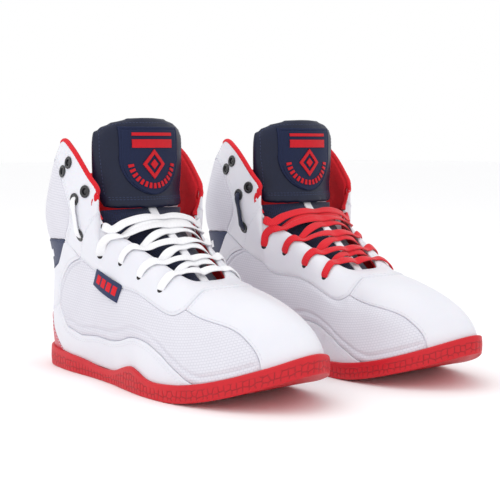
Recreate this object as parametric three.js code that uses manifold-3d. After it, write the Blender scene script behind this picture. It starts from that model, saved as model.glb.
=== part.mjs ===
// A pair of high-top boxing boots, in millimetres.
// Boot frame used while building: heel at the origin, toes towards +Y, outer side towards +X, floor at z = 0.
// Each boot is then turned so the toes point to -Y and stood next to the other one.
import * as THREE from 'three';
import Module from 'manifold-3d';

const wasm = await Module();
wasm.setup();
const { Manifold, Mesh: SolidMesh } = wasm;

// ---- driving dimensions ---------------------------------------------------------------------
const FOOT_LENGTH = 278;      // heel to toe along the line where upper meets sole
const FOOT_WIDTH = 93;        // across the ball on the same line
const SHAFT_HEIGHT = 172;     // floor to the tips of the ankle wings
const GAP = 0.35;             // clearance between neighbouring pieces
const LINING_GAP = 1.6;       // clearance between outer leather and lining
const SEAM = 0.6;             // open line left where two panels meet
const LEATHER = 1.5;          // outer leather thickness
const LINING = 2;             // padded lining thickness
const WING = 4.4;             // lined ankle wing thickness
const SOLE_WALL = 3.2;        // rubber cup wall thickness
const SOCK = 3.5;             // foam sockliner thickness
const TONGUE = 3;             // textile lower tongue thickness
const TONGUE_PAD = 14;        // padded tongue top, front to back
const TONGUE_TOP = 191;       // floor to the top of the tongue
const LACE_WIDTH = 6.2;
const LACE_THICK = 1.2;
const EYELET_OUTER = 4.6;     // radii
const EYELET_INNER = 2.5;
const EYELET_RISE = 1;
const BOOT_TURN = -3.165;     // degrees the left boot is turned out of parallel
const BOOT_STEP = [-144.07, 22.17];   // left boot heel from right boot heel, before the turn to -Y

const kx = FOOT_WIDTH / 93, ky = FOOT_LENGTH / 278, kz = SHAFT_HEIGHT / 172;

// ---- curves: rows are (parameter, values...) ------------------------------------------------
// sole line, heel 0 to toe 1: outer side and inner side, plan x and y
const OUTER_LINE = [[-0.06, -14, 9], [0, 0, 4], [0.06, 14, 9], [0.13, 26, 21], [0.22, 33, 48], [0.34, 36, 86],
  [0.44, 40, 116], [0.54, 46, 143], [0.63, 50, 165], [0.72, 51, 190], [0.8, 48, 214], [0.88, 38.5, 241],
  [0.94, 24.5, 262], [1, 4, 278], [1.06, -19, 266]];
const INNER_LINE = [[-0.06, 14, 9], [0, 0, 4], [0.06, -14, 9], [0.13, -25, 21], [0.22, -31, 48], [0.34, -31, 86],
  [0.44, -32, 116], [0.54, -35, 143], [0.63, -39, 165], [0.72, -42, 190], [0.8, -41.5, 216], [0.88, -34.5, 243],
  [0.94, -19, 266], [1, 4, 278], [1.06, 24.5, 262]];
// top edge of the upper, x (outer side), y and z
const TOP_LINE = [[-0.06, -15, 16, 148], [0, 0, 13, 147], [0.06, 15, 16, 148], [0.13, 30, 28, 152], [0.2, 42, 50, 163],
  [0.25, 47, 66, 172], [0.29, 50, 80, 166], [0.36, 50, 101, 146], [0.4, 48, 109, 136], [0.43, 46.5, 107.5, 127],
  [0.46, 45, 106.5, 119.5], [0.5, 42, 109.5, 111.5], [0.6, 33, 126, 101], [0.7, 25, 147, 89], [0.8, 19, 166, 79],
  [0.88, 14, 173, 75.5], [0.94, 8, 175, 75], [1, 0, 175, 75], [1.06, -8, 175, 75]];
const FULLNESS = [[0, 2], [0.3, 2], [0.46, 2], [0.5, 1.85], [0.56, 1.55], [0.65, 1.28], [0.8, 1.35], [0.9, 1.1], [1, 1.02]];
const ANKLE_BULGE = [[0, 0], [0.12, 1.5], [0.45, 0.5], [0.78, 6], [1, 0]];
const SOLE_LINE_Z = [[0, 14], [60, 11], [120, 9.5], [148, 11], [175, 9.5], [195, 9.5], [215, 12], [240, 18],
  [261, 26], [280, 36]];
const RIM_RISE = [[0, 2.5], [60, 2], [125, 2], [146, 6.5], [166, 3], [195, 3], [215, 3.5], [261, 4], [280, 3]];
const TONGUE_LINE = [[0, 188, 62.5], [0.2, 171, 73.5], [0.38, 155, 86.5], [0.6, 137, 101.5], [0.78, 122, 113],
  [0.9, 113.5, 119.5], [1, 109.5, 124]];
const TONGUE_HALF = [[0, 15], [0.2, 20], [0.38, 25], [0.6, 31], [0.78, 35], [0.9, 37], [1, 37.5]];
// how fast the tongue falls away either side of its ridge, per mm, from its front end to its top seam
const TONGUE_ROUND = [[0, 0.0175], [0.6, 0.0175], [0.8, 0.0145], [1, 0.0085]];
const TONGUE_SEAM = 123.8;    // floor to the bottom seam of the padded tongue top

// panel edges on the upper, as (girth, height): girth 0 at the heel, 1 at the toe; height 0 sole, 1 top edge
const FOOT = 0.016;           // panels start this far up from the sole line
const CORNER = [0.308, 0.505];        // where wing, facing and quarter meet
const CAP_CORNER = [0.792, 0.57];     // where facing, toe cap and quarter meet
const BAND_TOP = [0.245, 0.53], BAND_LOW = [0.192, 0.478];
const WING_SEAM = [BAND_TOP, [0.285, 0.6], [0.296, 0.656], [0.275, 0.71], [0.22, 0.82], [0.165, 1]];
const FACING_SEAM = [CORNER, [0.345, 0.62], [0.385, 0.74], [0.42, 0.86], [0.45, 0.94], [0.475, 1]];
const FACING_LOW = [CORNER, [0.383, 0.528], [0.5, 0.54], [0.6, 0.515], [0.68, 0.485], [0.74, 0.492], CAP_CORNER];
const CAP_ARC = [CAP_CORNER, [0.84, 0.69], [0.887, 0.79], [0.94, 0.825], [1, 0.832], [1.06, 0.825], [1.113, 0.79],
  [1.16, 0.69], [1.208, 0.57]];
const CAP_SEAM = [[0.925, FOOT], [0.922, 0.18], [0.914, 0.29], [0.902, 0.38], [0.878, 0.45], [0.833, 0.518], CAP_CORNER];
const GROOVE = [[0.192, 0.34], [0.238, 0.245], [0.3, 0.232], [0.37, 0.275], [0.45, 0.295], [0.546, 0.294],
  [0.642, 0.262], [0.704, 0.22], [0.757, 0.15], [0.817, FOOT]];
const GROOVE_REAR = [[0.192, 0.34], [0.204, 0.41], [0.246, 0.452], CORNER];
const COUNTER_EDGE = [[0.225, FOOT], [0.18, 0.14], [0.152, 0.22], [0.132, 0.3]];
const LACE_HOLES = [[0.485, 0.9], [0.442, 0.656], [0.554, 0.688], [0.629, 0.638], [0.708, 0.631]];
const LACE_EDGES = [0.52, 0.575, 0.65, 0.725, 0.79];
const EYELETS = { a: [0.287, 0.838], b: [0.267, 0.769], c: [0.354, 0.819], d: [0.321, 0.719], e: [0.333, 0.606] };

// ---- small maths ------------------------------------------------------------------------------
const lerp = (a, b, k) => a + (b - a) * k;
const mix = (a, b, k) => a.map((v, i) => lerp(v, b[i], k));
const add = (a, b, k = 1) => a.map((v, i) => v + b[i] * k);
const sub = (a, b) => a.map((v, i) => v - b[i]);
const cross = (a, b) => [a[1] * b[2] - a[2] * b[1], a[2] * b[0] - a[0] * b[2], a[0] * b[1] - a[1] * b[0]];
const unit = (a) => { const l = Math.hypot(...a) || 1; return a.map((v) => v / l); };
const steps = (n, a = 0, b = 1) => Array.from({ length: n + 1 }, (_, i) => lerp(a, b, i / n));

// smooth curve through rows of (parameter, values...)
function curve(rows, u) {
  const n = rows.length, at = Math.min(Math.max(u, rows[0][0]), rows[n - 1][0]);
  let i = 0;
  while (i < n - 2 && at > rows[i + 1][0]) i += 1;
  const slope = (a, b) => rows[b].slice(1).map((v, k) => (v - rows[a][k + 1]) / (rows[b][0] - rows[a][0]));
  const tangent = (j) => {
    if (j === 0) return slope(0, 1);
    if (j === n - 1) return slope(n - 2, n - 1);
    const back = rows[j][0] - rows[j - 1][0], ahead = rows[j + 1][0] - rows[j][0];
    const s0 = slope(j - 1, j), s1 = slope(j, j + 1);
    return s0.map((v, k) => (v * ahead + s1[k] * back) / (back + ahead));
  };
  const h = rows[i + 1][0] - rows[i][0], t = (at - rows[i][0]) / h, m0 = tangent(i), m1 = tangent(i + 1);
  return rows[i].slice(1).map((v, k) => (2 * t ** 3 - 3 * t ** 2 + 1) * v + (t ** 3 - 2 * t ** 2 + t) * h * m0[k]
    + (-2 * t ** 3 + 3 * t ** 2) * rows[i + 1][k + 1] + (t ** 3 - t ** 2) * h * m1[k]);
}
// the same through plain points, evenly numbered 0 to 1
const through = (points) => {
  const rows = points.map((p, i) => [i / (points.length - 1), ...p]);
  return (s) => curve(rows, s);
};
// straight-sided version, for edges with corners in them
const along = (points) => (s) => {
  const k = Math.min(s * (points.length - 1), points.length - 1 - 1e-9), i = Math.floor(k);
  return mix(points[i], points[i + 1], k - i);
};

// ---- the last: the surface every upper panel lies on --------------------------------------------
function soleLine(girth) {
  const g = ((girth + 1) % 2 + 2) % 2 - 1, inner = g < 0;
  const u = Math.abs(g), rows = inner ? INNER_LINE : OUTER_LINE, e = 1e-3;
  const a = curve(rows, u - e), b = curve(rows, u + e), s = inner ? -1 : 1;
  const out = unit([(b[1] - a[1]) * s * ky, -(b[0] - a[0]) * s * kx]);
  return { p: curve(rows, u), out, u, s };
}
function lastPoint(girth, height) {
  const { p, out, u, s } = soleLine(girth);
  const top = curve(TOP_LINE, u), n = curve(FULLNESS, u)[0], angle = height * Math.PI / 2;
  const up = Math.max(Math.sin(angle), 0) ** n, over = 1 - Math.max(Math.cos(angle), 0) ** n;
  const z0 = curve(SOLE_LINE_Z, p[1])[0];
  let w = Math.min(Math.max(1 - (u - 0.25) / 0.3, 0), 1);
  w = w * w * (3 - 2 * w) * curve(ANKLE_BULGE, up)[0];
  const x = lerp(p[0], top[0] * s, over) + out[0] * w, y = lerp(p[1], top[1], over) + out[1] * w;
  return [x * kx, y * ky, lerp(z0, top[2], up) * kz];
}
function lastNormal(girth, height) {
  const e = 0.004, h = Math.min(Math.max(height, 0.006), 0.994);
  const g = sub(lastPoint(girth + e, h), lastPoint(girth - e, h));
  const t = sub(lastPoint(girth, h + 0.006), lastPoint(girth, h - 0.006));
  return unit(cross(g, t));
}
const onLast = (girth, height, off = 0) => add(lastPoint(girth, height), lastNormal(girth, height), off);

// ---- solids -------------------------------------------------------------------------------------
// closed skin from vertex rings; shared corners are welded and empty triangles dropped
class Skin {
  constructor() { this.points = []; this.index = new Map(); this.faces = []; }
  vertex(p) {
    const key = p.map((v) => Math.round(v * 1e4)).join(' ');
    if (!this.index.has(key)) { this.index.set(key, this.points.length); this.points.push(p); }
    return this.index.get(key);
  }
  tri(a, b, c) {
    const [i, j, k] = [a, b, c].map((p) => this.vertex(p));
    if (i !== j && j !== k && k !== i) this.faces.push([i, j, k]);
  }
  quad(a, b, c, d) { this.tri(a, b, c); this.tri(a, c, d); }
}
function signedArea(grid) {
  let sum = 0;
  const [n, m] = [grid.length - 1, grid[0].length - 1];
  for (let i = 0; i < n; i += 1) for (let j = 0; j < m; j += 1) {
    const a = grid[i][j], b = grid[i + 1][j], c = grid[i][j + 1];
    sum += (b[0] - a[0]) * (c[1] - a[1]) - (b[1] - a[1]) * (c[0] - a[0]);
  }
  return sum;
}
// a sheet over a grid of (girth, height), from the last's surface down to the given depth
function sheet(grid, depth) {
  const out = grid.map((r) => r.map(([g, h]) => onLast(g, h)));
  const inn = grid.map((r, i) => r.map(([g, h]) => onLast(g, h, -(depth.call ? depth(i) : depth))));
  return signedArea(grid) < 0 ? skinFrom(flip(out), flip(inn)) : skinFrom(out, inn);
}
function skinFrom(out, inn) {
  const skin = new Skin(), n = out.length - 1, m = out[0].length - 1;
  for (let i = 0; i < n; i += 1) for (let j = 0; j < m; j += 1) {
    skin.quad(out[i][j], out[i + 1][j], out[i + 1][j + 1], out[i][j + 1]);
    skin.quad(inn[i][j], inn[i][j + 1], inn[i + 1][j + 1], inn[i + 1][j]);
  }
  for (let i = 0; i < n; i += 1) {
    skin.quad(out[i + 1][0], out[i][0], inn[i][0], inn[i + 1][0]);
    skin.quad(out[i][m], out[i + 1][m], inn[i + 1][m], inn[i][m]);
  }
  for (let j = 0; j < m; j += 1) {
    skin.quad(out[0][j], out[0][j + 1], inn[0][j + 1], inn[0][j]);
    skin.quad(out[n][j + 1], out[n][j], inn[n][j], inn[n][j + 1]);
  }
  return skin;
}
// grid filling the space inside four edges: low and high run the same way, rear and fore run upwards
function fill(low, high, rear, fore, n, m) {
  return steps(n).map((s) => steps(m).map((r) => {
    const flat = add(mix(low(s), high(s), r), mix(rear(r), fore(r), s));
    const corners = mix(mix(low(0), low(1), s), mix(high(0), high(1), s), r);
    return sub(flat, corners);
  }));
}
// pull a grid in from its edges so neighbours keep their clearance
function inset(grid, edge = SEAM / 2) {
  const size = (a, b) => Math.hypot(...sub(onLast(...a), onLast(...b)));
  const n = grid.length - 1, m = grid[0].length - 1;
  return grid.map((row, i) => row.map((p, j) => {
    let q = p;
    const pull = (to) => { q = add(q, sub(to, p), Math.min(edge / Math.max(size(p, to), 1e-6), 0.4)); };
    if (i === 0) pull(grid[1][j]);
    if (i === n) pull(grid[n - 1][j]);
    if (j === 0) pull(row[1]);
    if (j === m) pull(row[m - 1]);
    return q;
  }));
}
const mirrorEdge = (points) => points.map(([g, h]) => [-g, h]);
const sided = (grid, side) => (side > 0 ? grid : grid.map((row) => row.map(([g, h]) => [-g, h])));
// a solid ring of sections swept from heel to toe, the two ends closing on themselves
function hull(stations, section) {
  const skin = new Skin(), rings = stations.map(section), n = rings[0].length;
  for (let i = 0; i < rings.length - 1; i += 1) for (let j = 0; j < n; j += 1) {
    const k = (j + 1) % n;
    skin.quad(rings[i][k], rings[i][j], rings[i + 1][j], rings[i + 1][k]);
  }
  return skin;
}
// flat strip with the given centre points and face normals
function strip(points, normals, width, thick) {
  const skin = new Skin();
  const rings = points.map((p, i) => {
    const t = unit(sub(points[Math.min(i + 1, points.length - 1)], points[Math.max(i - 1, 0)]));
    const side = unit(cross(t, normals[i])), up = unit(cross(side, t));
    const corner = (a, b) => add(add(p, side, a * width / 2), up, b * thick / 2);
    return [corner(-1, -1), corner(1, -1), corner(1, 1), corner(-1, 1)];
  });
  const n = rings[0].length, last = rings.length - 1;
  for (let i = 0; i < last; i += 1) for (let j = 0; j < n; j += 1) {
    const k = (j + 1) % n;
    skin.quad(rings[i][k], rings[i][j], rings[i + 1][j], rings[i + 1][k]);
  }
  for (let j = 1; j < n - 1; j += 1) {
    skin.tri(rings[0][0], rings[0][j], rings[0][j + 1]);
    skin.tri(rings[last][0], rings[last][j + 1], rings[last][j]);
  }
  return skin;
}
function join(skins) {
  const solids = skins.map((s) => new Manifold(new SolidMesh({
    numProp: 3, vertProperties: new Float32Array(s.points.flat()), triVerts: new Uint32Array(s.faces.flat()) })));
  const mesh = Manifold.union(solids).getMesh(), skin = new Skin();
  const at = (i) => Array.from(mesh.vertProperties.slice(i * mesh.numProp, i * mesh.numProp + 3));
  for (let i = 0; i < mesh.triVerts.length; i += 3) skin.tri(...[0, 1, 2].map((k) => at(mesh.triVerts[i + k])));
  return skin;
}

// ---- sole unit ------------------------------------------------------------------------------------
const STATIONS = [0, 0.03, 0.065, 0.1, 0.15, 0.21, 0.28, 0.36, 0.44, 0.5, 0.55, 0.61, 0.68, 0.75, 0.81, 0.86, 0.9,
  0.935, 0.965, 0.985, 1];
const soleZ = (y) => curve(SOLE_LINE_Z, y)[0] * kz;
const groundZ = (y) => (y < 15 ? 3 * (1 - y / 15) ** 2 : 25 * (Math.max(y - 188, 0) / 90) ** 1.7) * kz;
function solePoint(girth, out, z) {
  const { p, out: n } = soleLine(girth);
  return [p[0] * kx + n[0] * out, p[1] * ky + n[1] * out, z(p[1])];
}
// a point between the outer and inner side at one station, at the height given by z(y)
function acrossPoint(u, k, out, z) {
  const a = solePoint(u, out, z), b = solePoint(-u, out, z), q = mix(a, b, k);
  return [q[0], q[1], z(q[1] / ky)];
}
function outsole() {
  const rise = (y) => curve(RIM_RISE, y)[0];
  const floor = (y) => soleZ(y) - GAP;
  const wall = (g) => [solePoint(g, SOLE_WALL + GAP - 1.2, groundZ), solePoint(g, SOLE_WALL + GAP, (y) => groundZ(y) + 2),
    solePoint(g, SOLE_WALL + GAP, (y) => soleZ(y) + rise(y) - 0.8), solePoint(g, SOLE_WALL + GAP - 1, (y) => soleZ(y) + rise(y)),
    solePoint(g, GAP + 0.9, (y) => soleZ(y) + rise(y)), solePoint(g, GAP + 0.1, (y) => soleZ(y) - 1.2),
    solePoint(g, GAP, floor)];
  const mids = [0.25, 0.5, 0.75];
  return hull(STATIONS, (u) => [...wall(u), ...mids.map((k) => acrossPoint(u, k, GAP, floor)),
    ...wall(-u).reverse(), ...mids.map((k) => acrossPoint(u, 1 - k, SOLE_WALL + GAP - 1.2, groundZ))]);
}
// the sole shape drawn in evenly from all sides
function sockliner() {
  const room = LEATHER + LINING_GAP + LINING + GAP + 1.6, middle = [2 * kx, 141 * ky];
  const scale = [1 - room / (43 * kx), 1 - room / (137 * ky)];
  const at = (g, rise) => {
    const p = soleLine(g).p, q = [p[0] * kx, p[1] * ky].map((v, i) => middle[i] + (v - middle[i]) * scale[i]);
    return [...q, soleZ(q[1] / ky) + rise];
  };
  const mid = (u, k, rise) => { const q = mix(at(u, rise), at(-u, rise), k); return [q[0], q[1], soleZ(q[1] / ky) + rise]; };
  const mids = [0.25, 0.5, 0.75];
  return hull(STATIONS, (u) => [at(u, 0), at(u, SOCK), ...mids.map((k) => mid(u, k, SOCK)), at(-u, SOCK), at(-u, 0),
    ...mids.map((k) => mid(u, 1 - k, 0))]);
}

// ---- upper ------------------------------------------------------------------------------------------
const flip = (points) => points.slice().reverse();
// every seam is sampled the same way by the pieces either side of it
const RISE = 5;               // steps up a panel
const arch = (corner, middle) => steps(8, -1, 1).map((k) => [k * corner[0], lerp(middle, corner[1], k * k)]);
const bandTop = arch(BAND_TOP, 0.588), bandLow = arch(BAND_LOW, 0.45);
const counterTop = [0.132, 0.3], foxStart = [counterTop, [0.16, 0.322]];
function quarter(side) {
  const low = along([...GROOVE, [0.87, FOOT], [0.925, FOOT]]);
  const grid = fill(low, through(FACING_LOW), through(GROOVE_REAR), through(CAP_SEAM), 22, RISE);
  return sheet(sided(inset(grid), side), LEATHER);
}
// smooth leather under the groove, from the heel counter to the ball of the foot
function foxing(side) {
  const high = [...foxStart, ...GROOVE], span = GROOVE[GROOVE.length - 1][0];
  const low = high.map(([g]) => [lerp(0.225, span, (g - counterTop[0]) / (span - counterTop[0])), FOOT]);
  const grid = fill(along(low), along(high), through(COUNTER_EDGE), along([low[low.length - 1], high[high.length - 1]]), 22, 3);
  return sheet(sided(inset(grid), side), LEATHER);
}
// U-shaped lacing panel around the throat
function facing() {
  const side = steps(22).map(through(FACING_LOW)), arc = steps(16).map(through(CAP_ARC));
  const low = [...side, ...arc.slice(1, -1), ...flip(side).map(([g, h]) => [2 - g, h])];
  const half = (low.length - 1) / 2;
  const high = low.map((_, i) => {
    const k = Math.abs(i - half) / half, g = 1 - lerp(0, 0.525, k ** 0.92);
    return [i <= half ? g : 2 - g, 1];
  });
  const rear = through(FACING_SEAM), fore = (r) => { const [g, h] = rear(r); return [2 - g, h]; };
  return sheet(inset(fill(along(low), along(high), rear, fore, low.length - 1, RISE)), LEATHER);
}
function toeCap() {
  const low = along([[0.925, FOOT], [1.075, FOOT]]), fore = through(CAP_SEAM.map(([g, h]) => [2 - g, h]));
  return sheet(inset(fill(low, through(CAP_ARC), through(CAP_SEAM), fore, 16, RISE)), LEATHER);
}
function wing(side) {
  const front = FACING_SEAM.map(([g, h]) => [g - 0.012, h]);   // leaves room for the red piping
  const rear = WING_SEAM.map(([g, h]) => [g + 0.003, h]);      // room to swing past the ankle panel
  const low = along([rear[0], front[0]]), high = along([rear[5], front[5]]);
  const grid = fill(low, high, through(rear), through(front), 12, RISE);
  const depth = (i) => (i > 10 ? LEATHER : WING);
  return sheet(sided(inset(grid, SEAM), side), depth);
}
function anklePanel() {
  const high = along([[-0.165, 1], [0.165, 1]]);
  const grid = fill(along(bandTop), high, through(mirrorEdge(WING_SEAM)), through(WING_SEAM), 16, RISE);
  return sheet(inset(grid), WING);
}
function heelBand() {
  const edge = [BAND_LOW, BAND_TOP];
  const grid = fill(along(bandLow), along(bandTop), along(mirrorEdge(edge)), along(edge), 16, 2);
  return sheet(inset(grid, SEAM), LEATHER);
}
// smooth leather wrapping the heel between counter and band, reaching forward to the wing corners
function backPanel() {
  const rear = through(mirrorEdge(GROOVE_REAR)), fore = through(GROOVE_REAR);
  const high = [mirrorEdge([CORNER])[0], mirrorEdge([BAND_TOP])[0], ...bandLow, BAND_TOP, CORNER];
  const start = [...foxStart, GROOVE[0]], top = steps(8, -1, 1).map((k) => [k * counterTop[0], counterTop[1]]);
  const low = [...flip(mirrorEdge(start)).slice(0, -1), ...top, ...start.slice(1)];
  return sheet(inset(fill(along(low), along(high), rear, fore, 24, RISE)), LEATHER);
}
function heelCounter() {
  const low = along([[-0.225, FOOT], [0.225, FOOT]]), high = along([mirrorEdge([counterTop])[0], counterTop]);
  const grid = fill(low, high, through(mirrorEdge(COUNTER_EDGE)), through(COUNTER_EDGE), 16, 3);
  return sheet(inset(grid), LEATHER);
}
function lining() {
  const outer = -LEATHER - LINING_GAP, inner = outer - LINING;
  const girths = [0, 0.04, 0.085, 0.13, 0.18, 0.24, 0.31, 0.345, 0.385, 0.425, 0.47, 0.51, 0.57, 0.64, 0.71, 0.77,
    0.82, 0.86, 0.89, 0.915, 0.94, 0.96, 0.98, 1];
  const height = (u) => {
    const rows = [[0, 0.45], [0.31, 0.45], [0.345, 0.46], [0.385, 0.5], [0.425, 0.57],
      [0.47, 0.66], [0.51, 0.76], [0.57, 0.84], [1, 0.9]];
    const i = Math.max(rows.findIndex((r) => r[0] >= u), 1);
    return lerp(rows[i - 1][1], rows[i][1], (u - rows[i - 1][0]) / (rows[i][0] - rows[i - 1][0]));
  };
  const round = [...girths.map((g) => g), ...flip(girths).slice(1, -1).map((g) => 2 - g)];
  const grid = round.map((g) => steps(6).map((r) => [g, lerp(FOOT, height(g > 1 ? 2 - g : g), r)]));
  const out = grid.map((row) => row.map(([g, h]) => onLast(g, h, outer)));
  const inn = grid.map((row) => row.map(([g, h]) => onLast(g, h, inner)));
  const skin = new Skin(), n = grid.length, m = 6;
  for (let i = 0; i < n; i += 1) {
    const k = (i + 1) % n;
    for (let j = 0; j < m; j += 1) {
      skin.quad(out[i][j], out[k][j], out[k][j + 1], out[i][j + 1]);
      skin.quad(inn[i][j], inn[i][j + 1], inn[k][j + 1], inn[k][j]);
    }
    skin.quad(out[k][0], out[i][0], inn[i][0], inn[k][0]);
    skin.quad(out[i][m], out[k][m], inn[k][m], inn[i][m]);
  }
  return skin;
}

// ---- tongue ------------------------------------------------------------------------------------------
function tonguePoint(q, x, off = 0) {
  const e = 0.01, a = curve(TONGUE_LINE, Math.max(q - e, 0)), b = curve(TONGUE_LINE, Math.min(q + e, 1));
  const n = unit([(b[1] - a[1]) * kz, -(b[0] - a[0]) * ky]);
  const c = curve(TONGUE_LINE, q), drop = -curve(TONGUE_ROUND, q)[0] * x * x / kx + off;
  return [x, c[0] * ky + n[0] * drop, c[1] * kz + n[1] * drop];
}
function tongueLower() {
  const grid = steps(9).map((q) => steps(6, -1, 1).map((s) => [q * 0.985, s * curve(TONGUE_HALF, q)[0] * kx]));
  const out = grid.map((row) => row.map(([q, x]) => tonguePoint(q, x, 0)));
  const inn = grid.map((row) => row.map(([q, x]) => tonguePoint(q, x, -TONGUE)));
  return skinFrom(out, inn);
}
function tongueTop() {
  const low = TONGUE_SEAM * kz, rise = TONGUE_TOP / kz - TONGUE_SEAM;
  const face = (sign) => steps(10, -1, 1).map((a) => steps(8, -1, 1).map((b) => {
    const s = Math.sin(a * Math.PI / 2), r = (Math.sin(b * Math.PI / 2) + 1) / 2;
    const half = (37 + 5.5 * Math.sin(Math.min(r * 1.6, 1) * Math.PI / 2)) * kx, x = s * half;
    const edge = Math.sqrt(Math.max(1 - Math.abs(s) ** 4, 0)) * Math.sqrt(Math.max(1 - Math.abs(2 * r - 1) ** 5, 0));
    const hem = 6.1 * Math.max(1 - r / 0.3, 0) ** 2;
    const y = (103 + hem - 0.0075 * x * x / kx) * ky + sign * edge * TONGUE_PAD / 2;
    return [x, y, low + rise * kz * r * (1 - 0.15 * s ** 4)];
  }));
  const front = face(1), back = face(-1), skin = new Skin();
  for (let i = 0; i < 10; i += 1) for (let j = 0; j < 8; j += 1) {
    skin.quad(front[i][j + 1], front[i + 1][j + 1], front[i + 1][j], front[i][j]);
    skin.quad(back[i][j], back[i + 1][j], back[i + 1][j + 1], back[i][j + 1]);
  }
  return skin;
}

// ---- lacing ----------------------------------------------------------------------------------------
const LACE_LIFT = GAP + 1.05 + LACE_THICK * 5 / 6;  // leather to the middle of the lace lying on it
// where a lace that leaves the facing edge at girth u crosses the ridge of the tongue
function ridge(u, lift) {
  const edge = lastPoint(u, 1);
  let best = 0, far = Infinity;
  for (const q of steps(200)) {
    const c = tonguePoint(q, 0), a = tonguePoint(q, 0, 1), n = sub(a, c), d = sub(c, edge);
    const miss = Math.abs(d[1] * n[2] - d[2] * n[1]);
    if (miss < far) { far = miss; best = q; }
  }
  return tonguePoint(best, 0, lift);
}
// a bar between the two facing edges: k runs 0 at the outer side to 1 at the inner side
function spanPoint(i, k) {
  const e = LACE_EDGES[i], edge = onLast(e, 1, LACE_LIFT), top = ridge(e, GAP + LACE_THICK * 1.6);
  const j = 1 - Math.abs(2 * k - 1), n1 = unit([0, 0.62, 0.78]), p = mix(edge, top, j);
  const q = add(p, n1, 0.42 * j * (1 - j) * Math.abs(edge[0])), n = unit(mix(lastNormal(e, 1), n1, j));
  const s = k > 0.5 ? -1 : 1;
  return [[q[0] * s, q[1], q[2]], [n[0] * s, n[1], n[2]]];
}
function bar(i) {
  const rise = LACE_LIFT, [g, h] = LACE_HOLES[i], e = LACE_EDGES[i];
  const half = steps(3).slice(0, -1).map((k) => { const a = mix([g, h], [e, 1], k); return [onLast(...a, rise), lastNormal(...a)]; });
  const inner = half.map((_, k) => mix([-g, h], [-e, 1], k / 5)).map((a) => [onLast(...a, rise), lastNormal(...a)]);
  const all = [...half, ...steps(6).map((k) => spanPoint(i, k)), ...flip(inner)];
  return strip(all.map((a) => a[0]), all.map((a) => a[1]), LACE_WIDTH, LACE_THICK);
}
// runs below the bars, from under the near end of bar i + 1 to under the far end of bar i
function diagonal(i, hand) {
  const all = steps(6).map((k) => {
    const run = lerp(0.18, 0.82, k), at = hand > 0 ? run : 1 - run;
    const [p0, n0] = spanPoint(i + 1, at), [p1, n1] = spanPoint(i, at);
    const meet = Math.max(0.72, 1 - 0.85 * LACE_WIDTH / Math.hypot(...sub(p1, p0)));   // edges tucked under the bar
    const share = meet * Math.sin(Math.min(k / 0.55, 1) * Math.PI / 2);
    return [add(mix(p0, p1, share), n0, -0.75 * LACE_THICK), unit(mix(n0, n1, share))];
  });
  return strip(all.map((a) => a[0]), all.map((a) => a[1]), LACE_WIDTH, LACE_THICK);
}
const lace = (hand) => join([...LACE_EDGES.map((_, i) => bar(i)), ...LACE_EDGES.slice(1).map((_, i) => diagonal(i, hand))]);
function ankleLace(side) {
  const off = GAP * 2 + EYELET_RISE + LACE_THICK / 2;
  const path = steps(5).map((k) => mix(EYELETS.e, EYELETS.d, k));
  return strip(path.map(([g, h]) => onLast(g * side, h, off)), path.map(([g, h]) => lastNormal(g * side, h)), 4.2, LACE_THICK);
}
function eyelet(name, side) {
  const [g, h] = EYELETS[name], n = lastNormal(g * side, h), p = onLast(g * side, h, GAP);
  const a = unit(cross(n, [0, 0, 1])), b = cross(n, a), skin = new Skin(), count = 8;
  const at = (i, r, z) => {
    const t = (i % count) / count * 2 * Math.PI;
    return add(add(add(p, a, r * Math.cos(t)), b, r * Math.sin(t)), n, z);
  };
  const ring = (i) => [at(i, EYELET_INNER, 0), at(i, EYELET_OUTER, 0), at(i, EYELET_OUTER - 0.6, EYELET_RISE),
    at(i, EYELET_INNER, EYELET_RISE)];
  for (let i = 0; i < count; i += 1) {
    const u = ring(i), v = ring(i + 1);
    for (let j = 0; j < 4; j += 1) skin.quad(u[j], v[j], v[(j + 1) % 4], u[(j + 1) % 4]);
  }
  return skin;
}

// ---- assembly --------------------------------------------------------------------------------------
const WHITE = 0xf2f2f4, MESH = 0xe4e3e8, RED = 0xc8242f, NAVY = 0x1c2238, PINK = 0xc9525f, BLACK = 0x121214;
const group = new THREE.Group();
group.name = 'boxing_boots';

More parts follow.
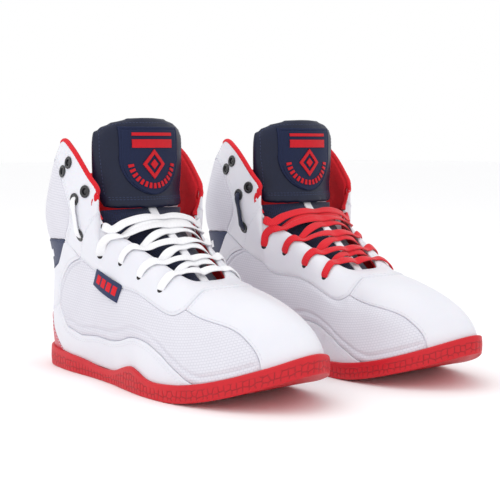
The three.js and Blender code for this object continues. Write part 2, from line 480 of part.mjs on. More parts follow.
function place(point, foot) {
  if (foot === 'right') return [-point[0], -point[1], point[2]];
  const a = THREE.MathUtils.degToRad(BOOT_TURN), c = Math.cos(a), s = Math.sin(a), x = -point[0], y = point[1];
  return [-(c * x - s * y + BOOT_STEP[0] * kx), -(s * x + c * y + BOOT_STEP[1] * ky), point[2]];
}
function addPiece(foot, name, skin, color, roughness) {
  const geometry = new THREE.BufferGeometry();
  geometry.setAttribute('position', new THREE.Float32BufferAttribute(skin.points.flatMap((p) => place(p, foot)), 3));
  geometry.setIndex(skin.faces.flatMap((f) => (foot === 'right' ? f : [f[0], f[2], f[1]])));
  geometry.computeVertexNormals();
  const mesh = new THREE.Mesh(geometry, new THREE.MeshStandardMaterial({ color, roughness }));
  mesh.name = `${foot}_${name}`;
  group.add(mesh);
}
for (const foot of ['right', 'left']) {
  const laceColor = foot === 'right' ? WHITE : RED, runColor = foot === 'right' ? WHITE : NAVY;
  addPiece(foot, 'outsole', outsole(), RED, 0.55);
  addPiece(foot, 'sockliner', sockliner(), NAVY, 0.9);
  addPiece(foot, 'lining', lining(), RED, 0.9);
  addPiece(foot, 'heel_counter', heelCounter(), PINK, 0.5);
  addPiece(foot, 'back_panel', backPanel(), WHITE, 0.5);
  addPiece(foot, 'heel_band', heelBand(), NAVY, 0.6);
  addPiece(foot, 'ankle_panel', anklePanel(), MESH, 0.7);
  addPiece(foot, 'toe_cap', toeCap(), WHITE, 0.5);
  addPiece(foot, 'facing', facing(), WHITE, 0.5);
  for (const [word, side] of [['outer', 1], ['inner', -1]]) {
    addPiece(foot, `quarter_${word}`, quarter(side), MESH, 0.7);
    addPiece(foot, `foxing_${word}`, foxing(side), WHITE, 0.5);
    addPiece(foot, `wing_${word}`, wing(side), WHITE, 0.5);
    for (const name of Object.keys(EYELETS)) addPiece(foot, `eyelet_${word}_${name}`, eyelet(name, side), BLACK, 0.4);
    addPiece(foot, `ankle_lace_${word}`, ankleLace(side), runColor, 0.8);
  }
  addPiece(foot, 'tongue_lower', tongueLower(), NAVY, 0.9);
  addPiece(foot, 'tongue_top', tongueTop(), NAVY, 0.5);
  addPiece(foot, 'lace', lace(foot === 'right' ? 1 : -1), laceColor, 0.8);
}
const box = new THREE.Box3().setFromObject(group), middle = box.getCenter(new THREE.Vector3());
group.children.forEach((mesh) => mesh.geometry.translate(-middle.x, -middle.y, -box.min.z));

export default group;
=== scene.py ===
import math
import bpy
import numpy as np
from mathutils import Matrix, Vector
from mathutils.bvhtree import BVHTree


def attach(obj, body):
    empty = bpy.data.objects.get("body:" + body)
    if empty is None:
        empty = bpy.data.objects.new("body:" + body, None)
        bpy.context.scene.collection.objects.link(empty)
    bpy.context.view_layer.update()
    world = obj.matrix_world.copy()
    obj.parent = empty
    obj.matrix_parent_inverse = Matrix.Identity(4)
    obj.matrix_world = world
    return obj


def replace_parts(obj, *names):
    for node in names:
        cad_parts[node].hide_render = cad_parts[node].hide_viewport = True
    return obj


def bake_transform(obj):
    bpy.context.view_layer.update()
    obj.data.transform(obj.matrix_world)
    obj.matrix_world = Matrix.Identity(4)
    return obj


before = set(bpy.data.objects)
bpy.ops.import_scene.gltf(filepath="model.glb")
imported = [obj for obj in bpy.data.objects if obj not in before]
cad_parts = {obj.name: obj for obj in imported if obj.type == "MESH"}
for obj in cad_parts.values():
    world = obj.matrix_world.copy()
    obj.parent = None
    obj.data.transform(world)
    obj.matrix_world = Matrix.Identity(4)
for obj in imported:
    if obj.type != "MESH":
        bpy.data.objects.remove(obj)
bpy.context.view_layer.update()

# ---- Studio --------------------------------------------------------------------------------------
# A pale matt floor under plain soft light: one broad softbox overhead, one from the front left,
# and a bright room. A long lens stands in front of the pair, off the outer side of the right boot.
EYE, AIM, LENS = (-0.6094, -0.6498, 0.16995), (-0.00986, 0.00198, 0.09185), 86.35


def srgb(code):
    rgb = [int(code[i:i + 2], 16) / 255 for i in (1, 3, 5)]
    return [*(c / 12.92 if c <= 0.04045 else ((c + 0.055) / 1.055) ** 2.4 for c in rgb), 1.0]


def add(tree, kind, sockets=None, **settings):
    """One shader or geometry node, with its settings, constants and incoming links."""
    node = tree.nodes.new(kind)
    for key, value in settings.items():
        setattr(node, key, value)
    for key, value in (sockets or {}).items():
        if isinstance(value, bpy.types.NodeSocket):
            tree.links.new(value, node.inputs[key])
        else:
            node.inputs[key].default_value = value
    return node


def finish(name, **sockets):
    """A new material with one principled shader; sockets are that shader's constants."""
    mat = bpy.data.materials.new(name)
    mat.use_nodes = True
    tree = mat.node_tree
    tree.nodes.clear()
    shader = add(tree, "ShaderNodeBsdfPrincipled", {k.replace("_", " "): v for k, v in sockets.items()})
    add(tree, "ShaderNodeOutputMaterial", {"Surface": shader.outputs[0]})
    return mat, tree, shader


def wire(tree, output, shader, socket):
    tree.links.new(output, shader.inputs[socket])


def two_tone(tree, shader, factor, low, high):
    """Base colour running between two colours by a factor."""
    tone = add(tree, "ShaderNodeMix", {0: factor, 6: srgb(low), 7: srgb(high)}, data_type="RGBA")
    wire(tree, tone.outputs[2], shader, "Base Color")


eye = bpy.data.objects.new("camera", bpy.data.cameras.new("camera"))
bpy.context.scene.collection.objects.link(eye)
eye.location = EYE
eye.rotation_euler = (Vector(AIM) - Vector(EYE)).to_track_quat("-Z", "Y").to_euler()
eye.data.lens, eye.data.sensor_width, eye.data.clip_start = LENS, 36, 0.01
bpy.context.scene.camera = eye
bpy.context.scene.view_settings.view_transform = "Standard"

for name, spot, size, watts in (("softbox_top", (-0.45, 0.15, 1.5), 1.4, 5),
                                ("softbox_front", (-1.5, -0.5, 1.0), 0.9, 3),
                                ("softbox_side", (1.3, -0.7, 0.9), 0.9, 0.6)):
    lamp = bpy.data.objects.new(name, bpy.data.lights.new(name, "AREA"))
    bpy.context.scene.collection.objects.link(lamp)
    lamp.location, lamp.data.size, lamp.data.energy = spot, size, watts
    lamp.rotation_euler = (Vector((0, 0, 0.06)) - Vector(spot)).to_track_quat("-Z", "Y").to_euler()
room = bpy.data.worlds.new("room")
bpy.context.scene.world = room
room.use_nodes = True
room.node_tree.nodes["Background"].inputs["Color"].default_value = srgb("#FFFFFF")
room.node_tree.nodes["Background"].inputs["Strength"].default_value = 1.0

# painted studio sweep, rolled matt emulsion: an even pale surface with next to no gloss
floor_paint, tree, shader = finish("matt_white_studio_paint", Base_Color=srgb("#FCFCFD"), Roughness=0.9)
mottle = add(tree, "ShaderNodeTexNoise", {"Scale": 40.0, "Detail": 3.0})
bump = add(tree, "ShaderNodeBump", {"Strength": 0.05, "Distance": 0.0004, "Height": mottle.outputs["Fac"]})
wire(tree, bump.outputs[0], shader, "Normal")
sweep = bpy.data.meshes.new("studio_floor")
sweep.from_pydata([(-9, -9, 0), (9, -9, 0), (9, 9, 0), (-9, 9, 0)], [], [(0, 1, 2, 3)])
sweep.materials.append(floor_paint)
studio_floor = bpy.data.objects.new("studio_floor", sweep)
bpy.context.scene.collection.objects.link(studio_floor)

# ---- Cup sole ------------------------------------------------------------------------------------
# One moulded red rubber cup that the upper sits in and is cemented to. Its wall rises beside the
# midfoot and sweeps up at the toe, and carries a scale pattern of shallow cells below a plain rim.
# Everything above it is laid out from the same line round the foot: girth 0 at the heel to 1 at the
# toe on the outer side, minus that on the inner side, and height 0 at the sole to 1 at the top edge.
OUTER_LINE = [[-.06, -14, 9], [0, 0, 4], [.06, 14, 9], [.13, 26, 21], [.22, 33, 48], [.34, 36, 86],
              [.44, 40, 116],
              [.54, 46, 143], [.63, 50, 165], [.72, 51, 190], [.8, 48, 214], [.88, 38.5, 241],
              [.94, 24.5, 262],
              [1, 4, 278], [1.06, -19, 266]]
INNER_LINE = [[-.06, 14, 9], [0, 0, 4], [.06, -14, 9], [.13, -25, 21], [.22, -31, 48], [.34, -31, 86],
              [.44, -32, 116], [.54, -35, 143], [.63, -39, 165], [.72, -42, 190], [.8, -41.5, 216],
              [.88, -34.5, 243], [.94, -19, 266], [1, 4, 278], [1.06, 24.5, 262]]
SOLE_LINE_Z = [[0, 14], [60, 11], [120, 9.5], [148, 11], [175, 9.5], [195, 9.5], [215, 12], [240, 18],
               [261, 26], [280, 36]]
RIM_RISE = [[0, 2.5], [60, 2], [125, 2], [136, 4.8], [146, 6.7], [156, 5.4], [166, 3], [195, 3], [215, 3.5],
            [261, 4], [280, 3]]
WALL, CLEAR = 3.2, 0.35          # rubber wall, and clearance to the upper
CELL, CELL_GROOVE, CELL_DEPTH = 4.3, 0.6, 0.4
FEET = ("right", "left")


def follow(rows, u):
    """Smooth curve through rows of (parameter, values...), at an array of parameters."""
    rows, u = np.asarray(rows, float), np.asarray(u, float)
    t, v = rows[:, 0], rows[:, 1:]
    h = np.diff(t)
    slope = np.diff(v, axis=0) / h[:, None]
    m = np.empty_like(v)
    m[0], m[-1] = slope[0], slope[-1]
    m[1:-1] = (slope[:-1] * h[1:, None] + slope[1:] * h[:-1, None]) / (h[1:] + h[:-1])[:, None]
    at = np.clip(u, t[0], t[-1])
    i = np.clip(np.searchsorted(t, at, side="left") - 1, 0, len(t) - 2)
    step = h[i][..., None]
    k = ((at - t[i]) / h[i])[..., None]
    return ((2 * k**3 - 3 * k**2 + 1) * v[i] + (k**3 - 2 * k**2 + k) * step * m[i]
            + (-2 * k**3 + 3 * k**2) * v[i + 1] + (k**3 - k**2) * step * m[i + 1])


def unit(v):
    return v / np.maximum(np.linalg.norm(v, axis=-1, keepdims=True), 1e-9)


def sole_line(girth):
    """Plan point, outward direction, distance from the heel 0..1 and side at each girth."""
    g = (np.asarray(girth, float) + 1) % 2 - 1
    inner, u = g < 0, np.abs(g)
    pick = lambda at: np.where(inner[..., None], follow(INNER_LINE, at), follow(OUTER_LINE, at))
    a, b, s = pick(u - 1e-3), pick(u + 1e-3), np.where(inner, -1.0, 1.0)
    out = unit(np.stack([(b[..., 1] - a[..., 1]) * s, -(b[..., 0] - a[..., 0]) * s], -1))
    return pick(u), out, u, s


def place(points, foot):
    """Millimetres in the boot's own frame (heel at the origin, toes +Y, outer side +X) to the row frame."""
    p = np.asarray(points, float)
    x, y = -p[..., 0], p[..., 1]
    if foot == "left":
        a = math.radians(-3.165)
        x, y = math.cos(a) * x - math.sin(a) * y - 144.07, math.sin(a) * x + math.cos(a) * y + 22.17
        return np.stack([-x - 69.618, -y + 151.982, p[..., 2]], -1) / 1000
    return np.stack([x - 69.618, -y + 151.982, p[..., 2]], -1) / 1000


def shell(front, back, wrap=False):
    """Closed skin of quads: a grid of points, the grid behind it, and the edges between them."""
    n, m = front.shape[:2]
    f = np.arange(n * m).reshape(n, m)
    b = f + n * m
    rows = [(i, (i + 1) % n) for i in range(n if wrap else n - 1)]
    faces = []
    for i, k in rows:
        for j in range(m - 1):
            faces += [(f[i, j], f[k, j], f[k, j + 1], f[i, j + 1]),
                      (b[i, j], b[i, j + 1], b[k, j + 1], b[k, j])]
        faces += [(f[k, 0], f[i, 0], b[i, 0], b[k, 0]), (f[i, -1], f[k, -1], b[k, -1], b[i, -1])]
    for j in range(0 if wrap else m - 1):
        faces += [(f[0, j], f[0, j + 1], b[0, j + 1], b[0, j]),
                  (f[-1, j + 1], f[-1, j], b[-1, j], b[-1, j + 1])]
    return np.concatenate([front.reshape(-1, 3), back.reshape(-1, 3)]), faces


def solid(name, foot, points, faces, material, surface=None, sharp=50, attributes=None):
    """A closed piece in place on one boot, its faces turned outwards. surface is its pattern map in mm."""
    co = place(points, foot)
    mesh = bpy.data.meshes.new(name)
    mesh.from_pydata(co.tolist(), [], [tuple(int(i) for i in f) for f in faces])
    tris = np.array([t for f in faces for t in ((f[0], f[i], f[i + 1]) for i in range(1, len(f) - 1))])
    if np.einsum("ij,ij->i", co[tris[:, 0]], np.cross(co[tris[:, 1]], co[tris[:, 2]])).sum() < 0:
        mesh.flip_normals()
    if surface is not None:
        at = np.zeros(len(mesh.loops), int)
        mesh.loops.foreach_get("vertex_index", at)
        flat = np.asarray(surface, float).reshape(-1, 2)[at] / 1000
        mesh.uv_layers.new(name="surface").data.foreach_set("uv", flat.ravel())
    for key, values in (attributes or {}).items():
        kind = "FLOAT" if np.ndim(values) == 1 else "FLOAT_VECTOR"
        made = mesh.attributes.new(key, kind, "POINT")
        made.data.foreach_set("value" if kind == "FLOAT" else "vector",
                              np.asarray(values, np.float32).ravel())
    mesh.polygons.foreach_set("use_smooth", [True] * len(mesh.polygons))
    if sharp:
        mesh.set_sharp_from_angle(angle=math.radians(sharp))
    mesh.materials.append(material)
    obj = bpy.data.objects.new(name, mesh)
    bpy.context.scene.collection.objects.link(obj)
    return obj


def settle(obj, slot, body, *nodes):
    """Rides the piece on its body, or bakes it in place where body is a swing, and hides the model parts it stands
    for.
    """
    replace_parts(obj, *nodes) if nodes else None
    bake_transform(obj) if isinstance(body, tuple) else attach(obj, body)
    return obj


def grown(obj, tree_name, inputs, build):
    """Runs a geometry tree with named inputs on obj and keeps the plain mesh that comes out."""
    tree = bpy.data.node_groups.new(tree_name, "GeometryNodeTree")
    tree.interface.new_socket("Geometry", in_out="INPUT", socket_type="NodeSocketGeometry")
    keys = {k: tree.interface.new_socket(k, in_out="INPUT",
                                         socket_type="NodeSocketFloat").identifier for k in inputs}
    tree.interface.new_socket("Geometry", in_out="OUTPUT", socket_type="NodeSocketGeometry")
    given = add(tree, "NodeGroupInput")
    add(tree, "NodeGroupOutput", {0: build(tree, given)})
    modifier = obj.modifiers.new(tree_name, "NODES")
    modifier.node_group = tree
    for k, value in inputs.items():
        modifier[keys[k]] = float(value)
    mesh = bpy.data.meshes.new_from_object(obj.evaluated_get(bpy.context.evaluated_depsgraph_get()))
    obj.modifiers.clear()
    obj.data = mesh
    return obj


# natural-filled rubber, compression moulded in a sparked tool: saturated red with a soft satin skin,
# painted shade that darkens the colour in the cell grooves, and fine spark grain of about 0.4 mm
red_rubber, tree, shader = finish("moulded_red_rubber", Specular_IOR_Level=0.35, Roughness=0.5, IOR=1.52,
                                  Coat_Weight=0.06, Coat_Roughness=0.4)
spot = add(tree, "ShaderNodeTexCoord")
blotch = add(tree, "ShaderNodeTexNoise", {"Vector": spot.outputs["Object"], "Scale": 60.0, "Detail": 4.0})
tone = add(tree, "ShaderNodeMix", {0: blotch.outputs["Fac"], 6: srgb("#D01022"), 7: srgb("#BB0C1B")},
           data_type="RGBA")
# painted shade: the stored groove mask mixes the rubber colour towards dark red in the cell grooves
deep = add(tree, "ShaderNodeAttribute", attribute_name="groove")
dark = add(tree, "ShaderNodeMix", {0: deep.outputs["Fac"], 6: tone.outputs[2], 7: srgb("#930A18")},
           data_type="RGBA")
wire(tree, dark.outputs[2], shader, "Base Color")
spark = add(tree, "ShaderNodeTexNoise", {"Vector": spot.outputs["Object"], "Scale": 2400.0, "Detail": 2.0})
grain = add(tree, "ShaderNodeBump", {"Strength": 0.25, "Distance": 0.0001, "Height": spark.outputs["Fac"]})
wire(tree, grain.outputs[0], shader, "Normal")


def ground_z(y):
    return np.where(y < 15, 3 * (1 - y / 15) ** 2, 25 * (np.maximum(y - 188, 0) / 90) ** 1.7)


def cells_on_wall(tree, given):
    """Presses shallow grooves between irregular cells into the wall, along its own length and height."""
    flat = add(tree, "GeometryNodeInputNamedAttribute", {"Name": "wall"}, data_type="FLOAT_VECTOR")
    mask = add(tree, "GeometryNodeInputNamedAttribute", {"Name": "pattern"}, data_type="FLOAT")
    size = add(tree, "ShaderNodeMath", {0: 1.0, 1: given.outputs["Cell size"]}, operation="DIVIDE")
    scaled = add(tree, "ShaderNodeVectorMath", {0: flat.outputs[0], "Scale": size.outputs[0]},
                 operation="SCALE")
    cells = add(tree, "ShaderNodeTexVoronoi", {"Vector": scaled.outputs[0], "Scale": 1.0, "Randomness": 0.5},
                voronoi_dimensions="2D", feature="DISTANCE_TO_EDGE")
    width = add(tree, "ShaderNodeMath", {0: given.outputs["Groove width"], 1: size.outputs[0]},
                operation="MULTIPLY")
    dip = add(tree, "ShaderNodeMapRange", {"Value": cells.outputs["Distance"], "From Min": 0.0,
              "From Max": width.outputs[0], "To Min": 1.0, "To Max": 0.0}, interpolation_type="SMOOTHSTEP")
    held = add(tree, "ShaderNodeMath", {0: dip.outputs[0], 1: mask.outputs[0]}, operation="MULTIPLY")
    deep = add(tree, "ShaderNodeMath", {0: held.outputs[0], 1: given.outputs["Groove depth"]},
               operation="MULTIPLY")
    back = add(tree, "ShaderNodeMath", {0: deep.outputs[0], 1: -0.001}, operation="MULTIPLY")
    normal = add(tree, "GeometryNodeInputNormal")
    move = add(tree, "ShaderNodeVectorMath", {0: normal.outputs[0], "Scale": back.outputs[0]},
               operation="SCALE")
    # keeps the groove mask, which the rubber's colour uses to paint shade into the grooves
    kept = add(tree, "GeometryNodeStoreNamedAttribute", {"Geometry": given.outputs[0], "Name": "groove",
               "Value": held.outputs[0]}, data_type="FLOAT", domain="POINT")
    return add(tree, "GeometryNodeSetPosition",
               {"Geometry": kept.outputs[0], "Offset": move.outputs[0]}).outputs[0]


def sole_profile(girth):
    """Points round the section from the middle of the underside, up the wall, to the middle of the foot bed."""
    p, out, u, s = sole_line(girth)
    twin = sole_line(-girth)[0]
    at = lambda far, z: np.concatenate([p + out * far, z[:, None]], 1)
    y = p[:, 1]
    rim = follow(SOLE_LINE_Z, y)[:, 0] + follow(RIM_RISE, y)[:, 0]
    bed, low = follow(SOLE_LINE_Z, y)[:, 0] - CLEAR, ground_z(y)
    face = WALL + CLEAR
    across = lambda k, far, z: (lambda q: np.concatenate([q, z(q[:, 1])[:, None]], 1))(
        (p + out * far) * (1 - k) + (twin + sole_line(-girth)[1] * far) * k)
    rings = [across(k, face - 1.4, ground_z) for k in (0.5, 0.38, 0.25, 0.12, 0.03)]
    rings += [at(face - 1.2 + 1.2 * math.sin(a), low + 1.2 * (1 - math.cos(a))) for a in np.linspace(0,
            math.pi / 2, 5)]
    bulge = lambda k: 0.35 * math.sin(k * math.pi)
    rings += [at(face + bulge(k), low + 1.2 + (rim - 1 - low - 1.2) * k) for k in np.linspace(0.05, 1, 19)]
    rings += [at(face - 1 + math.cos(a), rim - 1 + math.sin(a)) for a in np.linspace(0.3, math.pi / 2, 4)]
    rings += [at(CLEAR + 1 - 0.8 * math.sin(a), rim - 0.8 + 0.8 * math.cos(a)) for a in (0, 0.8, math.pi / 2)]
    rings += [at(CLEAR + 0.1, bed - 0.2), at(CLEAR - 0.6, bed)]
    rings += [across(k, CLEAR, lambda y: follow(SOLE_LINE_Z, y)[:, 0] - CLEAR) for k in (0.05, 0.2, 0.35,
            0.5)]
    return np.stack(rings, 1)


for foot in FEET:
    girth = np.linspace(0, 2, 1441)[:-1]
    ring = sole_profile(girth)
    n, m = ring.shape[:2]
    run = np.concatenate([[0], np.cumsum(np.linalg.norm(np.diff(ring[:, 14], axis=0), axis=1))])
    up = np.concatenate([np.zeros((n, 1)), np.cumsum(np.linalg.norm(np.diff(ring, axis=1), axis=2), 1)], 1)
    up = up - up[:, 9:10]
    band = np.zeros((n, m))
    band[:, 10:28] = 1
    tall = up[:, 28:29]
    band *= np.clip((tall - up - 2.2) / 0.8, 0, 1) * np.clip((up - 0.2) / 0.6, 0, 1)
    wall = np.stack([np.repeat(run[:, None], m, 1), up, np.zeros((n, m))], -1)
    index = np.arange(n * m).reshape(n, m)
    faces = [(index[i, j], index[(i + 1) % n, j], index[(i + 1) % n, j + 1], index[i, j + 1])
             for i in range(n) for j in range(m - 1)]
    # the middle edges of the two halves meet: each half's last points are the other half's
    cup = solid(f"{foot}_cup_sole", foot, ring.reshape(-1, 3), faces, red_rubber, wall[..., :2],
                attributes={"wall": wall.reshape(-1, 3), "pattern": band.ravel()})
    weld = cup.modifiers.new("weld", "WELD")
    weld.merge_threshold = 1e-6
    grown(cup, "sole_wall_cells",
          {"Cell size": CELL, "Groove width": CELL_GROOVE, "Groove depth": CELL_DEPTH}, cells_on_wall)
    settle(cup, "red_rubber", f"{foot}_boot", f"{foot}_outsole")

# ---- Smooth leather panels -----------------------------------------------------------------------
# The rear wrap, the low quarter below the groove and the toe cap: satin white cowhide about 1.5 mm
# thick, die cut, skived and turned at the edges, and lapped and stitched over its neighbours.
FOOT = 0.016
CORNER, CAP_CORNER = [.308, .505], [.792, .57]
BAND_TOP, BAND_LOW, COUNTER_TOP = [.245, .53], [.192, .478], [.132, .3]
TOP_LINE = [[-.06, -15, 16, 148], [0, 0, 13, 147], [.06, 15, 16, 148], [.13, 30, 28, 152], [.2, 42, 50, 163],
            [.25, 47, 66, 172], [.29, 50, 80, 166], [.36, 50, 101, 146], [.4, 48, 109, 136],
            [.43, 46.5, 107.5, 127],
            [.46, 45, 106.5, 119.5], [.5, 42, 109.5, 111.5], [.6, 33, 126, 101], [.7, 25, 147, 89],
            [.8, 19, 166, 79],
            [.88, 14, 173, 75.5], [.94, 8, 175, 75], [1, 0, 175, 75], [1.06, -8, 175, 75]]
FULLNESS = [[0, 2], [.3, 2], [.46, 2], [.5, 1.85], [.56, 1.55], [.65, 1.28], [.8, 1.35], [.9, 1.1], [1, 1.02]]
ANKLE_BULGE = [[0, 0], [.12, 1.5], [.45, .5], [.78, 6], [1, 0]]
WING_SEAM = [BAND_TOP, [.285, .6], [.296, .656], [.275, .71], [.22, .82], [.165, 1]]
GROOVE = [[.192, .34], [.238, .245], [.3, .232], [.37, .275], [.45, .295], [.546, .294], [.642, .262],
          [.704, .22],
          [.757, .15], [.817, FOOT]]
GROOVE_REAR = [[.192, .34], [.204, .41], [.246, .452], CORNER]
COUNTER_EDGE = [[.225, FOOT], [.18, .14], [.152, .22], COUNTER_TOP]
CAP_SEAM = [[.925, FOOT], [.922, .18], [.914, .29], [.902, .38], [.878, .45], [.833, .518], CAP_CORNER]
CAP_ARC = [CAP_CORNER, [.84, .69], [.887, .79], [.94, .825], [1, .832], [1.06, .825], [1.113, .79],
           [1.16, .69], [1.208, .57]]
FOX_START = [COUNTER_TOP, [.16, .322]]


def last_point(g, h):
    """The surface of the last, which every panel lies on, in mm."""
    g, h = np.broadcast_arrays(np.asarray(g, float), np.asarray(h, float))
    p, out, u, s = sole_line(g)
    top, n, angle = follow(TOP_LINE, u), follow(FULLNESS, u)[..., 0], h * math.pi / 2
    up = np.maximum(np.sin(angle), 0) ** n
    over = 1 - np.maximum(np.cos(angle), 0) ** n
    z0 = follow(SOLE_LINE_Z, p[..., 1])[..., 0]
    w = np.clip(1 - (u - 0.25) / 0.3, 0, 1)
    w = w * w * (3 - 2 * w) * follow(ANKLE_BULGE, up)[..., 0]
    x = p[..., 0] + (top[..., 0] * s - p[..., 0]) * over + out[..., 0] * w
    y = p[..., 1] + (top[..., 1] - p[..., 1]) * over + out[..., 1] * w
    return np.stack([x, y, z0 + (top[..., 2] - z0) * up], -1)


def last_normal(g, h):
    g, h = np.asarray(g, float), np.clip(h, 0.006, 0.994)
    return unit(np.cross(last_point(g + .004, h) - last_point(g - .004, h),
                         last_point(g, h + .006) - last_point(g, h - .006)))


def on_last(g, h, off=0.0):
    return last_point(g, h) + last_normal(g, h) * np.asarray(off, float)[..., None]


def through(points):
    rows = [[i / (len(points) - 1), *p] for i, p in enumerate(points)]
    return lambda s: follow(rows, s)


def along(points):
    """Straight-sided edge with corners in it."""
    q = np.asarray(points, float)
    def at(s):
        k = np.minimum(np.asarray(s, float) * (len(q) - 1), len(q) - 1 - 1e-9)
        i = np.floor(k).astype(int)
        return q[i] + (q[i + 1] - q[i]) * (k - i)[..., None]
    return at


def mirror(points):
    return [[-g, h] for g, h in points]


def far(points):
    return [[2 - g, h] for g, h in points]


def patch(low, high, rear, fore, n, m, crowd=0.7):
    """Grid of (girth, height) filling four edges, its lines crowded towards them."""
    spread = lambda c: (lambda t: (1 - crowd) * t + crowd * (0.5 - 0.5 * np.cos(np.pi * t)))(np.linspace(0,
            1, c + 1))
    s, r = spread(n), spread(m)
    S, R = s[:, None, None], r[None, :, None]
    flat = low(s)[:, None] * (1 - R) + high(s)[:, None] * R + rear(r)[None] * (1 - S) + fore(r)[None] * S
    ends = [low(np.array([0.]))[0], low(np.array([1.]))[0], high(np.array([0.]))[0], high(np.array([1.]))[0]]
    return flat - ((ends[0] * (1 - S) + ends[1] * S) * (1 - R) + (ends[2] * (1 - S) + ends[3] * S) * R)


def edge_distances(points):
    """Distance in mm from each grid point to the grid's low, high, rear and fore edges."""
    run = lambda a, axis: np.concatenate([np.zeros_like(np.take(a, [0], axis)), np.cumsum(a, axis)], axis)
    i = run(np.linalg.norm(np.diff(points, axis=0), axis=2), 0)
    j = run(np.linalg.norm(np.diff(points, axis=1), axis=2), 1)
    return j, j[:, -1:] - j, i, i[-1:] - i


GIRTH_MM = np.cumsum(np.concatenate([[0],
                                     np.linalg.norm(np.diff(last_point(np.linspace(-1.5, 2.5, 801), .2),
                                                            axis=0), axis=1)]))


def surface_mm(grid):
    """Pattern map: mm round the foot, and mm up from the sole."""
    around = np.interp(grid[..., 0], np.linspace(-1.5, 2.5, 801), GIRTH_MM)
    rise = last_point(grid[..., 0:1], grid[..., 1:2] * np.linspace(0, 1, 13))
    return np.stack([around, np.linalg.norm(np.diff(rise, axis=2), axis=3).sum(2)], -1)


def panel(foot, name, grid, material, slot, body, nodes, side=1, lift=0.4, depth=1.5, roll=0.9, relief=None):
    """A leather panel on the last: lift above it, rounded over at the edges, and depth down to its back."""
    grid = grid * np.array([side, 1])
    flat = on_last(grid[..., 0], grid[..., 1])
    edges = edge_distances(flat)
    near = np.clip(np.minimum.reduce(edges) / roll, 0, 1)
    off = lift - roll * (1 - np.sqrt(1 - (1 - near) ** 2))
    if relief is not None:
        off = off + relief(*edges)
    front = on_last(grid[..., 0], grid[..., 1], off)
    back = on_last(grid[..., 0], grid[..., 1], -depth * np.ones_like(off))
    verts, faces = shell(front, back)
    made = solid(f"{foot}_{name}", foot, verts, faces, material,
                 np.tile(surface_mm(grid).reshape(-1, 2), (2, 1)))
    return settle(made, slot, body, *[f"{foot}_{n}" for n in nodes])


# full-grain cowhide, pigment finished and lightly plated: cool white, satin, with hair-cell grain of
# about 0.9 mm (coarser than life so that it shows) and faint shallow creasing a few mm across
white_leather, tree, shader = finish("pigmented_white_cowhide", IOR=1.5, Coat_Weight=0.1, Coat_Roughness=0.3,
                                     Subsurface_Weight=0.04, Subsurface_Scale=0.001)
spot = add(tree, "ShaderNodeTexCoord")
cloud = add(tree, "ShaderNodeTexNoise", {"Vector": spot.outputs["Object"], "Scale": 32.0, "Detail": 3.0})
two_tone(tree, shader, cloud.outputs["Fac"], "#E3E3E9", "#DADAE2")
satin = add(tree, "ShaderNodeMapRange", {"Value": cloud.outputs["Fac"], "To Min": 0.36, "To Max": 0.5})
wire(tree, satin.outputs[0], shader, "Roughness")
hair = add(tree, "ShaderNodeTexVoronoi", {"Vector": spot.outputs["Object"], "Scale": 1100.0},
           feature="SMOOTH_F1")
crease = add(tree, "ShaderNodeTexNoise", {"Vector": spot.outputs["Object"], "Scale": 260.0, "Detail": 4.0})
fine = add(tree, "ShaderNodeBump", {"Strength": 0.3, "Distance": 0.00012, "Height": hair.outputs["Distance"]})
soft = add(tree, "ShaderNodeBump",
           {"Strength": 0.22, "Distance": 0.0004, "Height": crease.outputs["Fac"], "Normal": fine.outputs[0]})
wire(tree, soft.outputs[0], shader, "Normal")

arch = lambda corner, middle: [[k * corner[0],
                                middle + (corner[1] - middle) * k * k] for k in np.linspace(-1, 1, 9)]
band_low, band_top = arch(BAND_LOW, .45), arch(BAND_TOP, .588)
start = [*FOX_START, GROOVE[0]]
wrap_low = [*mirror(start)[::-1][:-1],
            *[[k * COUNTER_TOP[0], COUNTER_TOP[1]] for k in np.linspace(-1, 1, 9)], *start[1:]]
wrap_high = [[-CORNER[0], CORNER[1]], [-BAND_TOP[0], BAND_TOP[1]], *band_low, BAND_TOP, CORNER]
wrap = patch(along(wrap_low), along(wrap_high), through(mirror(GROOVE_REAR)), through(GROOVE_REAR), 120, 14)
fox_high = [*FOX_START, *GROOVE]
fox_low = [[.225 + (.817 - .225) * (g - .132) / (.817 - .132), FOOT] for g, _ in fox_high]
fox = patch(along(fox_low), along(fox_high), through(COUNTER_EDGE), along([fox_low[-1], fox_high[-1]]), 100,
            22)
cap = patch(along([[.925, FOOT], [1.075, FOOT]]), through(CAP_ARC), through(CAP_SEAM),
            through(far(CAP_SEAM)), 64, 44)
for foot in FEET:
    body = f"{foot}_boot"
    panel(foot, "rear_wrap", wrap, white_leather, "white_leather", body, ["back_panel"], lift=.75)
    panel(foot, "toe_cap_leather", cap, white_leather, "white_leather", body, ["toe_cap"], lift=.45)
    for word, side in (("outer", 1), ("inner", -1)):
        panel(foot, f"low_quarter_{word}", fox, white_leather, "white_leather", body, [f"foxing_{word}"],
              side, lift=.7)

# ---- Embossed quarters ---------------------------------------------------------------------------
# The padded side panel between the groove, the lacing panel and the toe cap, and the ankle panel
# behind the wings: white leather pressed with a small staggered weave, with foam behind it and a
# sewn channel that follows the groove about 7 mm in.
FACING_LOW = [CORNER, [.383, .528], [.5, .54], [.6, .515], [.68, .485], [.74, .492], CAP_CORNER]
EMBOSS = (2.6, 1.9)              # one pressed cell, along and up
